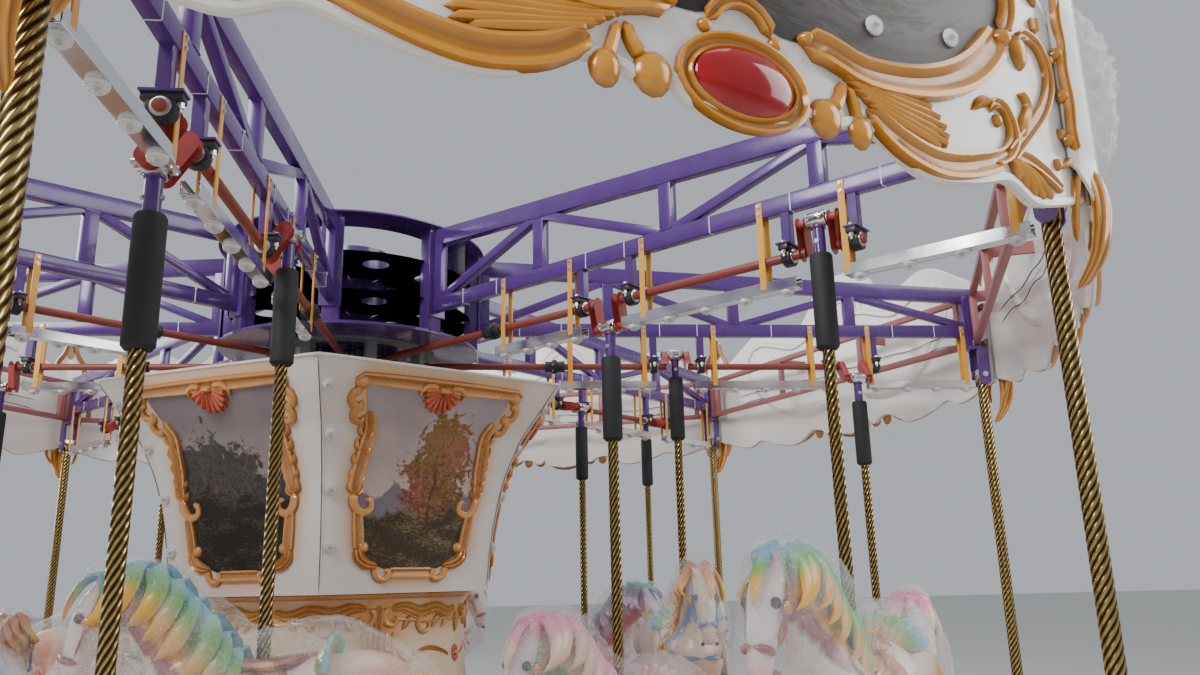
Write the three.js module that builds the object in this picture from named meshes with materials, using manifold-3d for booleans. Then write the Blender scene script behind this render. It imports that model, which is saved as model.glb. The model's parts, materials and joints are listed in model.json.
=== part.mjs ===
// Carousel with eight sweeps and two rows of horses, hung from crankshafts under the sweeps.
// Units are millimetres, +Z is up and the origin lies on the floor under the middle of the ride.
// Sweep 1 lies along +X and the others follow anticlockwise seen from above.
// A sweep's own frame has x outwards along the sweep, y anticlockwise and z up.

import * as THREE from 'three';
import { mergeVertices } from 'three/addons/utils/BufferGeometryUtils.js';
import Module from 'manifold-3d';

const wasm = await Module();
wasm.setup();

// Layout
const SWEEPS = 8;
const STEP = (2 * Math.PI) / SWEEPS;
const GAP = 0.3;
const ROUND = 8;
const THIN_ROUND = 6;
const BEARING_GAP = 0.5;

// Heights of the whole ride
const DECK_TOP = 300;
const DECK_SHEET = 40;
const DECK_UNDERSIDE = 190;
const CASING_TOP = 1600;
const DRUM_TOP = 2695;
const CRANK_Z = 2928;
const HUB_BOTTOM = 3002;
const HUB_TOP = 3625;
const COLUMN_TOP = 3600;

// Radii of the whole ride
const COLUMN_R = 150;
const POLE_CIRCLE_R = 4000;
const DECK_CORNER_R = 4110;
const DECK_HOLE_R = 425;
const HORSE_ROWS = { inner: 2010, outer: 3140 };
const BASE = { armWidth: 100, armLength: 1850, height: 140, hubRadius: 620 };
const COLUMN_FOOT = { footRadius: 340, footThickness: 25 };

// Crankshafts and their drive
const THROW = 120;
const SHAFT_R = 20;
const PIN_R = 15;
const WEB_OFFSET = 70;
const WEB_THICKNESS = 40;
const WEB_HALF_WIDTH = 30;
const PINION_R = 60;
const CROWN_R = 180;
const GEAR_FACE = 40;
const GEAR_CLEARANCE = 5;
const COUPLING = { from: 1180, to: 1300, radius: 45 };
const HANGER_OFFSET = 150;
const HANGER_THICKNESS = 44;
const HUB_BEARING_R = 252;
// Angle of each inner crank above the horizontal; the outer crank of the same shaft stands opposite.
const CRANK_DEGREES = [50, 190, 130, -37, -100, 20, 60, -80];

// Sweep trusses
const TRUSS_FROM = 765.5;
const END_POST = { at: 3950, width: 80, bottom: 2980 };
const BOTTOM_CHORD = { bottom: 3122, height: 78, width: 50 };
const TOP_CHORD = { hubTop: 3608, endTop: 3446, height: 96, width: 50 };
const TRUSS_STATIONS = [1580, 2384, 3149];
const TRUSS_POST_WIDTH = 70;
const BRACE = 46;
const STRAP = { width: 30, thickness: 5, top: 3190 };
const LIGHT_BAR = { bottom: 2786, top: 2833, width: 49 };
const LIGHT_BARS = [
  { from: 1275, to: 1870, straps: [1336, 1800] },
  { from: 2115, to: 3025, straps: [2245, 2875] },
  { from: 3237, to: 3940, straps: [3252, 3890] },
];

// Poles and the parts round them
const FIXED_POLE = { radius: 33, top: 2867, foot: 80, footHeight: 14 };
const HORSE_POLE = { radius: 25, bottom: 135 };
const SLEEVE = { radius: 46, top: 148, length: 395 };
const HOUSING = { halfLength: 43, radius: 38 };
const SLOT = { halfLength: 155, halfWidth: 34 };

// Rounding boards, shields and the rails behind them
const CORNER_R = 4129;
const BOARD = { middle: 3990, thickness: 30, halfSpan: CORNER_R * Math.sin(STEP / 2), endGap: 20 };
const BOARD_BOW = BOARD.middle - CORNER_R * Math.cos(STEP / 2);
const BOARD_BENDS = 4;
const GEM = { halfLength: 182, halfHeight: 116, z: 2830, rimProud: 24, table: 0.6, proud: 58 };
const STEM = { width: 112, proud: 34, middle: [[190, 3005], [480, 2966], [830, 3080], [1080, 3305]] };
const RAIL = { size: 40, levels: [3085, 3390], apothem: 3690 };
const STANDOFFS = [-1400, -470, 470, 1400];
const SHIELD = { proud: 42, reach: 140, footWidth: 150 };

// Materials
const finish = (colour, roughness, metalness) =>
  new THREE.MeshStandardMaterial({ color: colour, roughness, metalness });
const FINISHES = {
  purple: finish(0x5a3c96, 0.25, 0.1),
  primer: finish(0x7a2a22, 0.5, 0.2),
  brass: finish(0x8a6a2c, 0.3, 0.9),
  white: finish(0xece8e0, 0.25, 0),
  cream: finish(0xe8dcc0, 0.3, 0),
  deck: finish(0x9c7a55, 0.7, 0),
  steel: finish(0x6d7075, 0.5, 0.6),
  horse: finish(0xf0dfe4, 0.4, 0),
};

// Solids

/** Turn a closed three.js geometry into a solid. */
function solid(geometry) {
  const bare = geometry.index ? geometry.toNonIndexed() : geometry.clone();
  for (const name of Object.keys(bare.attributes)) {
    if (name !== 'position') bare.deleteAttribute(name);
  }
  const merged = mergeVertices(bare, 1e-3);
  const index = merged.index.array;
  const kept = [];
  for (let i = 0; i < index.length; i += 3) {
    const [a, b, c] = [index[i], index[i + 1], index[i + 2]];
    if (a !== b && b !== c && c !== a) kept.push(a, b, c);
  }
  return new wasm.Manifold(new wasm.Mesh({
    numProp: 3,
    vertProperties: new Float32Array(merged.attributes.position.array),
    triVerts: new Uint32Array(kept),
  }));
}

/** Join any number of solids. */
const join = (...parts) => parts.flat(Infinity).reduce((whole, part) => whole.add(part));

/** Cut solids out of a solid. */
const pierce = (body, cutters) => cutters.flat(Infinity).reduce((rest, cut) => rest.subtract(cut), body);

/** Turn a solid back into a three.js geometry. */
function geometryOf(body) {
  const mesh = body.getMesh();
  const geometry = new THREE.BufferGeometry();
  geometry.setAttribute('position', new THREE.BufferAttribute(new Float32Array(mesh.vertProperties), 3));
  geometry.setIndex(new THREE.BufferAttribute(new Uint32Array(mesh.triVerts), 1));
  geometry.computeVertexNormals();
  return geometry;
}

/** A box between two corners. */
function box([x0, y0, z0], [x1, y1, z1]) {
  const geometry = new THREE.BoxGeometry(x1 - x0, y1 - y0, z1 - z0);
  return solid(geometry.translate((x0 + x1) / 2, (y0 + y1) / 2, (z0 + z1) / 2));
}

/** A round bar between two points. */
function rod(from, to, radius, sides = THIN_ROUND) {
  const a = new THREE.Vector3(...from);
  const b = new THREE.Vector3(...to);
  const geometry = new THREE.CylinderGeometry(radius, radius, a.distanceTo(b), sides, 1);
  const turn = new THREE.Quaternion().setFromUnitVectors(
    new THREE.Vector3(0, 1, 0), b.clone().sub(a).normalize());
  geometry.applyQuaternion(turn);
  const middle = a.add(b).multiplyScalar(0.5);
  return solid(geometry.translate(middle.x, middle.y, middle.z));
}

/** A solid of revolution round the upright axis, from a closed outline of [radius, height]. */
function turned(outline, sides, start = 0) {
  const points = outline.map(([r, z]) => new THREE.Vector2(r, z));
  const geometry = new THREE.LatheGeometry(points, sides);
  geometry.rotateX(Math.PI / 2);
  geometry.rotateZ(Math.PI / 2 + start);
  const body = solid(geometry);
  return body.volume() > 0 ? body : solid(flipped(geometry));
}

/** The same geometry with its faces turned round. */
function flipped(geometry) {
  const copy = geometry.toNonIndexed();
  const p = copy.attributes.position;
  const corner = new THREE.Vector3();
  for (let i = 0; i < p.count; i += 3) {
    corner.fromBufferAttribute(p, i + 1);
    p.setXYZ(i + 1, p.getX(i + 2), p.getY(i + 2), p.getZ(i + 2));
    p.setXYZ(i + 2, corner.x, corner.y, corner.z);
  }
  return copy;
}

/** A ring of rectangular section. */
const ring = (inner, outer, bottom, top, sides) =>
  turned([[inner, bottom], [outer, bottom], [outer, top], [inner, top], [inner, bottom]], sides);

/** A closed outline through points. */
const outline = (points) => new THREE.Shape(points.map(([u, v]) => new THREE.Vector2(u, v)));

/** Stand an outline of [y, z] across x, between two distances from the axis. */
function across(shape, from, to, curveSegments = 3) {
  const geometry = new THREE.ExtrudeGeometry(shape, { depth: to - from, bevelEnabled: false, curveSegments });
  geometry.rotateX(Math.PI / 2);
  geometry.rotateZ(Math.PI / 2);
  return solid(geometry.translate(from, 0, 0));
}

/** Stand an outline of [x, z] along x, with its thickness centred on y. */
function along(shape, width, y = 0, curveSegments = 3) {
  const geometry = new THREE.ExtrudeGeometry(shape, { depth: width, bevelEnabled: false, curveSegments });
  geometry.translate(0, 0, -width / 2);
  geometry.rotateX(Math.PI / 2);
  return solid(geometry.translate(0, y, 0));
}

/** A flat outline in x and y, raised to a height. */
function raised(shape, bottom, top, curveSegments = 4) {
  const geometry = new THREE.ExtrudeGeometry(shape, { depth: top - bottom, bevelEnabled: false, curveSegments });
  return solid(geometry.translate(0, 0, bottom));
}

/** Turn a solid about the ride's axis. */
const turnedBy = (body, angle) => solid(geometryOf(body).rotateZ(angle));

/** The same solid with its left and right sides exchanged. */
const mirrored = (body) => solid(flipped(geometryOf(body).scale(1, -1, 1)));

/** Copies of a solid at every sweep, or halfway between the sweeps. */
const roundTheRide = (body, offset = 0) =>
  Array.from({ length: SWEEPS }, (_, i) => turnedBy(body, i * STEP + offset));

/** A named mesh in its finish. */
function piece(name, body, material) {
  const mesh = new THREE.Mesh(geometryOf(body), material);
  mesh.name = name;
  return mesh;
}

// Standing part

function baseFrame() {
  const { armWidth, armLength, height, hubRadius } = BASE;
  const arm = box([COLUMN_R + 50, -armWidth / 2, 0], [armLength, armWidth / 2, height]);
  const middle = ring((COLUMN_R + GAP) / Math.cos(STEP / 2), hubRadius, 0, height, SWEEPS);
  return join(middle, roundTheRide(arm, STEP / 2));
}

function centreColumn() {
  const crownTop = CRANK_Z - PINION_R - GEAR_CLEARANCE;
  const crownRim = CROWN_R + GEAR_FACE / 2;
  const seat = BASE.height + GAP;
  const { footRadius, footThickness } = COLUMN_FOOT;
  return turned([
    [0, 0], [COLUMN_R, 0], [COLUMN_R, seat], [footRadius, seat], [footRadius, seat + footThickness],
    [COLUMN_R, seat + footThickness],
    [COLUMN_R, crownTop - 80], [crownRim, crownTop - 30], [crownRim, crownTop], [COLUMN_R, crownTop],
    [COLUMN_R, COLUMN_TOP], [0, COLUMN_TOP],
  ], 12);
}

// Turning frame

/** A drop post with its bearing block, bored for the shaft, drawn across the sweep. */
function pillowBlock(at, top) {
  const [post, half] = [20, 52];
  const [low, high] = [CRANK_Z - 36, CRANK_Z + 44];
  const shape = outline([[-half, low], [half, low], [half, high], [post, high], [post, top], [-post, top],
    [-post, high], [-half, high]]);
  shape.holes.push(boreOutline(SHAFT_R, CRANK_Z));
  return across(shape, at - HANGER_THICKNESS / 2, at + HANGER_THICKNESS / 2);
}

/** The outline of a hole round a shaft of few sides, with a running fit. */
function boreOutline(radius, height) {
  const reach = (radius + BEARING_GAP) / Math.cos(Math.PI / THIN_ROUND);
  return new THREE.Path(Array.from({ length: THIN_ROUND }, (_, i) => new THREE.Vector2(
    reach * Math.cos(i * 2 * Math.PI / THIN_ROUND), height + reach * Math.sin(i * 2 * Math.PI / THIN_ROUND))));
}

function hubCage() {
  const plate = 12;
  const [sleeveInside, sleeveOutside] = [COLUMN_R + 25, COLUMN_R + 60];
  const seat = COLUMN_TOP + BEARING_GAP;
  const sleeve = turned([[0, seat], [sleeveInside, seat], [sleeveInside, HUB_BOTTOM], [sleeveOutside, HUB_BOTTOM],
    [sleeveOutside, HUB_TOP + plate], [0, HUB_TOP + plate]], 8);
  const bottom = ring(sleeveInside, 764, HUB_BOTTOM, HUB_BOTTOM + 18, 16);
  const rim = ring(560, 800, HUB_TOP, HUB_TOP + plate, 16);
  const post = box([680, -45, HUB_BOTTOM + 5], [764, 45, HUB_TOP + 5]);
  const shelves = [3210, 3430].map((z) => holedPlate(720, z, z + plate));
  const bearing = pillowBlock(HUB_BEARING_R, HUB_BOTTOM + 5);
  return join(sleeve, bottom, rim, shelves, roundTheRide(post), roundTheRide(bearing));
}

/** A round shelf with a ring of holes through it. */
function holedPlate(radius, bottom, top) {
  const holeRadius = 75;
  const holeCircle = 500;
  const drill = raised(new THREE.Shape(circlePoints(holeCircle, 0, holeRadius, THIN_ROUND)), bottom - 5, top + 5);
  return pierce(ring(COLUMN_R + 40, radius, bottom, top, 16), roundTheRide(drill, STEP / 2));
}

/** Points evenly round a circle. */
const circlePoints = (x, y, radius, count) => Array.from({ length: count }, (_, i) => {
  const angle = (i * 2 * Math.PI) / count;
  return new THREE.Vector2(x + radius * Math.cos(angle), y + radius * Math.sin(angle));
});

function innerFrame() {
  const radius = 450;
  const top = HUB_BOTTOM - GAP;
  const bottom = DECK_TOP + GAP;
  const post = box([radius - 30, -30, bottom], [radius + 30, 30, top]);
  const rings = [ring(414, 500, top - 14, top, 16), ring(440, 560, bottom, bottom + 14, 8)];
  return join(rings, roundTheRide(post, STEP / 2));
}

function sweepTruss() {
  const lowMid = BOTTOM_CHORD.bottom + BOTTOM_CHORD.height / 2;
  const hubEar = box([TRUSS_FROM + GAP, -60, BOTTOM_CHORD.bottom - 30],
    [TRUSS_FROM + 14, 60, TOP_CHORD.hubTop - 10]);
  const hangerAt = Object.values(HORSE_ROWS).flatMap((r) => [r - HANGER_OFFSET, r + HANGER_OFFSET]);
  const hangers = hangerAt.map((x) => pillowBlock(x, lowMid));
  return join(trussWeb(), hubEar, clevis(), hangers, LIGHT_BARS.map(lightBar));
}

/** The chords, posts and braces of a sweep as one plate with three-cornered windows. */
function trussWeb() {
  const endOut = END_POST.at + END_POST.width / 2;
  const topAt = (x) => THREE.MathUtils.mapLinear(x, TRUSS_FROM, endOut, TOP_CHORD.hubTop, TOP_CHORD.endTop);
  const shape = outline([[TRUSS_FROM, BOTTOM_CHORD.bottom], [endOut - END_POST.width, BOTTOM_CHORD.bottom],
    [endOut - END_POST.width, END_POST.bottom + 60], [endOut, END_POST.bottom + 60],
    [endOut, topAt(endOut)], [TRUSS_FROM, topAt(TRUSS_FROM)]]);
  const low = BOTTOM_CHORD.bottom + BOTTOM_CHORD.height;
  const high = (x) => topAt(x) - TOP_CHORD.height;
  const edges = [TRUSS_FROM + 14 - TRUSS_POST_WIDTH / 2, ...TRUSS_STATIONS, endOut - END_POST.width / 2];
  const windows = edges.slice(1).flatMap((next, i) => {
    const x0 = edges[i] + TRUSS_POST_WIDTH / 2;
    const x1 = next - TRUSS_POST_WIDTH / 2;
    const cut = BRACE * 1.6;
    return i % 2 === 0
      ? [[[x0, low + 30], [x1 - cut, high(x1)], [x0, high(x0)]], [[x0 + cut, low], [x1, low], [x1, high(x1) - 30]]]
      : [[[x1, low + 30], [x1, high(x1)], [x0 + cut, high(x0)]], [[x0, low], [x1 - cut, low], [x0, high(x0) - 30]]];
  });
  const cutters = windows.map((corners) => along(outline(corners), BOTTOM_CHORD.width + 2));
  return pierce(along(shape, BOTTOM_CHORD.width), cutters);
}

/** The fork at the sweep's end that holds the fixed pole. */
function clevis() {
  const { at, bottom } = END_POST;
  const crown = box([at - 30, -58, bottom + 55], [POLE_CIRCLE_R + 40, 58, bottom + 75]);
  const cheeks = [-1, 1].map((side) => box(
    [POLE_CIRCLE_R - 40, side * 58 - (side > 0 ? 12 : 0), 2800],
    [POLE_CIRCLE_R + 40, side * 58 + (side > 0 ? 0 : 12), bottom + 60]));
  return join(crown, cheeks);
}

/** A light bar: a channel whose two flanges run up into the straps on both sides of the crankshaft. */
function lightBar({ from, to, straps }) {
  const half = LIGHT_BAR.width / 2;
  const { bottom, top } = LIGHT_BAR;
  const [first, last] = straps;
  const reach = STRAP.width / 2;
  const comb = outline([[from, bottom], [to, bottom], [to, top], [last + reach, top], [last + reach, STRAP.top],
    [last - reach, STRAP.top], [last - reach, top], [first + reach, top], [first + reach, STRAP.top],
    [first - reach, STRAP.top], [first - reach, top], [from, top]]);
  const flanges = [-1, 1].map((side) => along(comb, STRAP.thickness, side * (half + STRAP.thickness / 2)));
  return join(flanges, box([from + 1, -half - 1, bottom + 1], [to - 1, half + 1, bottom + 8]));
}

function fixedPole() {
  const foot = DECK_TOP + GAP;
  const shaft = rod([0, 0, foot], [0, 0, FIXED_POLE.top], FIXED_POLE.radius);
  const flange = rod([0, 0, foot], [0, 0, foot + FIXED_POLE.footHeight], FIXED_POLE.foot);
  const tongue = box([-30, -46 + GAP, FIXED_POLE.top - 30], [30, 46 - GAP, FIXED_POLE.top + 40]);
  return join(shaft, flange, tongue);
}

// Decoration and floor

function deck() {
  const octagon = (r) => circlePoints(0, 0, r, SWEEPS);
  const sheetBottom = DECK_TOP - DECK_SHEET;
  const under = sheetBottom + 5;
  const middle = raised(new THREE.Shape(circlePoints(0, 0, DECK_HOLE_R, 16)), sheetBottom - 10, DECK_TOP + 10);
  const slots = Object.values(HORSE_ROWS).map((r) => roundTheRide(
    raised(poleSlot(r), sheetBottom - 10, DECK_TOP + 10)));
  const sheet = pierce(raised(new THREE.Shape(octagon(DECK_CORNER_R)), sheetBottom, DECK_TOP), [middle, slots]);
  const rim = pierce(raised(new THREE.Shape(octagon(DECK_CORNER_R - 15)), DECK_UNDERSIDE, under),
    [raised(new THREE.Shape(octagon(DECK_CORNER_R - 90)), DECK_UNDERSIDE - 10, under + 10)]);
  const joist = box([DECK_HOLE_R + 20, -35, DECK_UNDERSIDE], [3720, 35, under]);
  const innerRim = ring((DECK_HOLE_R + 5) / Math.cos(STEP / 2), DECK_HOLE_R + 115, DECK_UNDERSIDE, under, SWEEPS);
  return join(sheet, rim, innerRim, roundTheRide(joist, STEP / 2));
}

/** The outline of the slot in the deck that a horse's pole swings in. */
function poleSlot(r) {
  const { halfLength, halfWidth } = SLOT;
  return outline([[r - halfWidth, -halfLength], [r + halfWidth, -halfLength], [r + halfWidth, halfLength],
    [r - halfWidth, halfLength]]);
}

function lowerCasing() {
  const wall = 20;
  const foot = DECK_TOP + GAP;
  const outer = [[905, foot], [905, 400], [820, 620], [742, 1000], [708, 1350], [722, 1540],
    [748, CASING_TOP - 30], [748, CASING_TOP]];
  const inner = [[560, CASING_TOP], [560, CASING_TOP - wall],
    ...outer.slice(0, 5).reverse().map(([r, z]) => [r - wall, z])];
  return turned([...outer, ...inner, outer[0]], 12);
}

function upperDrum() {
  const wall = 16;
  const foot = CASING_TOP + GAP;
  const corners = [[950, foot], [962, 1760], [986, 1920], [1020, 2080], [1064, 2215], [1155, 2400],
    [1285, 2560], [1390, DRUM_TOP]];
  const inside = corners.slice(1).reverse().map(([r, z]) => [r - wall, z]);
  const outline = [...corners, ...inside, [950 - wall, foot + wall], [610, foot + wall], [610, foot],
    corners[0]];
  return turned(outline, 6, THREE.MathUtils.degToRad(-86.8));
}

// Rounding boards stand in a frame with x outwards through the board's middle and y along it.

/** How far the bowed front of a board stands from the ride's axis, at a distance along it. */
const boardFront = (y) => BOARD.middle - BOARD_BOW * (y / BOARD.halfSpan) ** 2;

/** The bowed strip of a board between two distances behind its front, seen from above. */
function bowedStrip(end, nearer, further) {
  const stops = Array.from({ length: BOARD_BENDS + 1 }, (_, i) => end * ((2 * i) / BOARD_BENDS - 1));
  const face = (depth) => stops.map((y) => [boardFront(y) - depth, y]);
  return outline([...face(nearer), ...face(further).reverse()]);
}

/** Half of the board's outline, from the middle of the bottom round to the middle of the top. */
function boardOutline() {
  const end = BOARD.halfSpan;
  const half = (s) => {
    const shape = new THREE.Shape();
    shape.moveTo(0, 2706);
    shape.quadraticCurveTo(s * 170, 2706, s * 205, 2812);
    shape.lineTo(s * 262, 2747);
    shape.lineTo(s * 335, 2800);
    shape.lineTo(s * 385, 2747);
    shape.lineTo(s * 448, 2812);
    shape.quadraticCurveTo(s * 620, 2660, s * 860, 2745);
    shape.lineTo(s * 1040, 2806);
    shape.quadraticCurveTo(s * 1120, 2740, s * 1290, 2757);
    shape.lineTo(s * end, 2850);
    shape.lineTo(s * end, 3470);
    shape.quadraticCurveTo(s * 1480, 3480, s * 1330, 3600);
    shape.quadraticCurveTo(s * 958, 3840, s * 560, 3700);
    shape.quadraticCurveTo(s * 400, 3800, s * 330, 3920);
    shape.quadraticCurveTo(s * 180, 4050, 0, 4050);
    return shape.getPoints(2);
  };
  return new THREE.Shape([...half(1), ...half(-1).reverse().slice(1, -1)]);
}

function roundingBoard() {
  const [lowest, highest] = [2600, 4100];
  const strip = raised(bowedStrip(BOARD.halfSpan - BOARD.endGap, 0, BOARD.thickness), lowest, highest);
  const panel = strip.intersect(across(boardOutline(), 3700, BOARD.middle + 50));
  return join(panel, gem(), stems(lowest, highest), ladder(), cornerShield());
}

/** The faceted gem in its rim at the middle of the board's lower edge. */
function gem() {
  const back = -BOARD.thickness / 2;
  const profile = [[0, back], [1, back], [1, GEM.rimProud], [GEM.table, GEM.proud], [0, GEM.proud]];
  const geometry = geometryOf(turned([...profile, [0, back]], THIN_ROUND));
  geometry.rotateY(Math.PI / 2);
  geometry.scale(1, GEM.halfLength, GEM.halfHeight);
  return solid(geometry.translate(BOARD.middle, 0, GEM.z));
}

/** The two carved stems that rise from the gem towards the corners. */
function stems(lowest, highest) {
  const layer = bowedStrip(BOARD.halfSpan - BOARD.endGap, -STEM.proud, BOARD.thickness / 2);
  const relief = raised(layer, lowest, highest);
  return [1, -1].map((side) => {
    const middle = STEM.middle.map(([y, z]) => [side * y, z]);
    return relief.intersect(across(ribbon(middle, STEM.width), 3700, BOARD.middle + 100));
  });
}

/** The outline of a band of even width along a line of points. */
function ribbon(points, width) {
  const sides = [1, -1].map((side) => points.map(([y, z], i) => {
    const [before, after] = [points[Math.max(i - 1, 0)], points[Math.min(i + 1, points.length - 1)]];
    const normal = new THREE.Vector2(after[0] - before[0], after[1] - before[1]).normalize();
    return [y - normal.y * side * width / 2, z + normal.x * side * width / 2];
  }));
  return outline([...sides[0], ...sides[1].reverse()]);
}

/** The ladder of rails behind a board and the arms that hold the board on it. */
function ladder() {
  const [low, high] = RAIL.levels;
  const half = RAIL.size / 2;
  const postSide = BOTTOM_CHORD.width / 2 + GAP;
  const end = ((RAIL.apothem - half) * Math.sin(STEP / 2) - postSide) / Math.cos(STEP / 2);
  const frame = outline([[-end, low - half], [end, low - half], [end, high + half], [-end, high + half]]);
  const windows = STANDOFFS.slice(1).map((next, i) => across(
    outline([[STANDOFFS[i] + 15, low + half], [next - 15, low + half], [next - 15, high - half],
      [STANDOFFS[i] + 15, high - half]]), RAIL.apothem - RAIL.size, RAIL.apothem + RAIL.size));
  const rails = pierce(across(frame, RAIL.apothem - half, RAIL.apothem + half), windows);
  const arms = STANDOFFS.map((y) => box([RAIL.apothem, y - 10, high - 60],
    [boardFront(y) - BOARD.thickness + 8, y + 10, high + 10]));
  return join(rails, arms);
}

/** The moulded shield that closes the corner at the board's left end. */
function cornerShield() {
  const [proud, start] = [SHIELD.proud, BOARD.halfSpan - SHIELD.reach];
  const corner = (r) => [r * Math.cos(STEP / 2) - 0.4, r * Math.sin(STEP / 2) + 1];
  const plan = outline([[boardFront(start) + 1, start], [boardFront(start) + proud * 0.6, start],
    corner(CORNER_R + proud), corner(CORNER_R + 1)]);
  const side = outline([[start - 5, 2960], [BOARD.halfSpan + 20, 2760], [BOARD.halfSpan + 20, 3860],
    [BOARD.halfSpan - 60, 3700], [start - 5, 3500]]);
  const near = raised(plan, 2700, 3900).intersect(across(side, 3700, CORNER_R));
  const far = turnedBy(mirrored(turnedBy(near, -STEP / 2)), STEP / 2);
  const tieEnd = BOARD.halfSpan - BOARD.endGap - 10;
  const tie = box([boardFront(tieEnd) - 10, tieEnd - 40, 3000], [boardFront(tieEnd) + 12, tieEnd, 3350]);
  return join(near, far, tie, shieldFoot());
}

/** The curled foot of a shield, drawn in the upright plane of the corner. */
function shieldFoot() {
  const front = CORNER_R + SHIELD.proud;
  const side = new THREE.Shape();
  side.moveTo(front, 2960);
  side.quadraticCurveTo(front + 12, 2640, 4052, 2544);
  side.lineTo(4062, 2584);
  side.quadraticCurveTo(CORNER_R - 60, 2700, CORNER_R + 2, 2815);
  side.lineTo(CORNER_R + 2, 2960);
  side.closePath();
  return turnedBy(along(side, SHIELD.footWidth), STEP / 2);
}

// Crankshafts lie along x with the inner throw towards +y.

function crankshaft() {
  const half = WEB_THICKNESS / 2;
  const journals = [];
  const throws = [];
  let from = CROWN_R - GEAR_FACE / 2;
  const rows = Object.values(HORSE_ROWS);
  rows.forEach((r, i) => {
    const side = i === 0 ? 1 : -1;
    journals.push([from, r - WEB_OFFSET + 5]);
    from = r + WEB_OFFSET - 5;
    for (const web of [r - WEB_OFFSET, r + WEB_OFFSET]) throws.push(crankWeb(web - half, web + half, side));
    throws.push(rod([r - WEB_OFFSET, side * THROW, 0], [r + WEB_OFFSET, side * THROW, 0], PIN_R, ROUND));
  });
  const outerEnd = rod([from, 0, 0], [HORSE_ROWS.outer + HANGER_OFFSET + 35, 0, 0], SHAFT_R, ROUND);
  const shafts = journals.map(([x0, x1]) => rod([x0, 0, 0], [x1, 0, 0], SHAFT_R));
  const pinion = rod([CROWN_R - GEAR_FACE / 2, 0, 0], [CROWN_R + GEAR_FACE / 2, 0, 0], PINION_R, ROUND);
  const coupling = rod([COUPLING.from, 0, 0], [COUPLING.to, 0, 0], COUPLING.radius);
  return join(shafts, outerEnd, throws, pinion, coupling);
}

function crankWeb(x0, x1, side) {
  const wide = WEB_HALF_WIDTH + 4;
  const shape = new THREE.Shape();
  shape.moveTo(-wide, -20);
  shape.lineTo(0, -wide - 4);
  shape.lineTo(wide, -20);
  shape.lineTo(WEB_HALF_WIDTH - 4, THROW + 12);
  shape.lineTo(0, THROW + WEB_HALF_WIDTH);
  shape.lineTo(-WEB_HALF_WIDTH + 4, THROW + 12);
  shape.closePath();
  const geometry = new THREE.ExtrudeGeometry(shape, { depth: x1 - x0, bevelEnabled: false });
  geometry.rotateY(Math.PI / 2);
  if (side < 0) geometry.rotateX(Math.PI);
  return solid(geometry.translate(x0, 0, 0));
}

// Horses hang in a frame with its origin in the crank pin. The horse looks towards -y.

function horseOnPole() {
  const { halfLength, radius } = HOUSING;
  const block = outline([[-radius, -32], [radius, -32], [radius, 36], [-radius, 36]]);
  block.holes.push(boreOutline(PIN_R, 0));
  const housing = across(block, -halfLength, halfLength);
  const sleeve = rod([0, 0, -SLEEVE.top - SLEEVE.length], [0, 0, -SLEEVE.top], SLEEVE.radius);
  const pole = rod([0, 0, HORSE_POLE.bottom - CRANK_Z], [0, 0, -25], HORSE_POLE.radius);
  return join(housing, sleeve, pole, horse());
}

/** A side view of the horse in [forward, height over the floor], given a width. */
const silhouette = (points, width) => across(outline(points.map(([u, z]) => [-u, z - CRANK_Z])),
  -width / 2, width / 2);

function horse() {
  const trunk = new THREE.LatheGeometry([[0, -570], [160, -400], [160, -120], [175, 220], [0, 440]]
    .map(([r, u]) => new THREE.Vector2(r, u)), ROUND);
  trunk.scale(0.95, 1, 1.05);
  trunk.rotateX(Math.PI);
  trunk.translate(0, 0, 1110 - CRANK_Z);
  const neckAndHead = silhouette([[60, 1200], [340, 1000], [500, 1330], [630, 1150], [712, 1185],
    [680, 1400], [570, 1615], [400, 1625], [130, 1380]], 130);
  const tail = silhouette([[-480, 1270], [-640, 1180], [-650, 830], [-560, 900], [-500, 1080]], 80);
  const forelegs = silhouette([[180, 1040], [330, 1080], [470, 860], [430, 640], [350, 640], [360, 830]], 240);
  const hindlegs = silhouette([[-300, 1080], [-520, 1120], [-560, 800], [-520, 520], [-430, 520],
    [-450, 800]], 250);
  return join(solid(trunk), neckAndHead, tail, forelegs, hindlegs);
}

// Assembly

const ride = new THREE.Group();
ride.name = 'carousel';

ride.add(
  piece('base_frame', baseFrame(), FINISHES.steel),
  piece('centre_column', centreColumn(), FINISHES.steel),
  piece('hub_cage', hubCage(), FINISHES.purple),
  piece('inner_frame', innerFrame(), FINISHES.steel),
  piece('deck', deck(), FINISHES.deck),
  piece('lower_casing', lowerCasing(), FINISHES.cream),
  piece('upper_drum', upperDrum(), FINISHES.white),
);

const shared = {
  truss: sweepTruss(),
  pole: fixedPole(),
  board: roundingBoard(),
  shaft: crankshaft(),
  horse: horseOnPole(),
};

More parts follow.
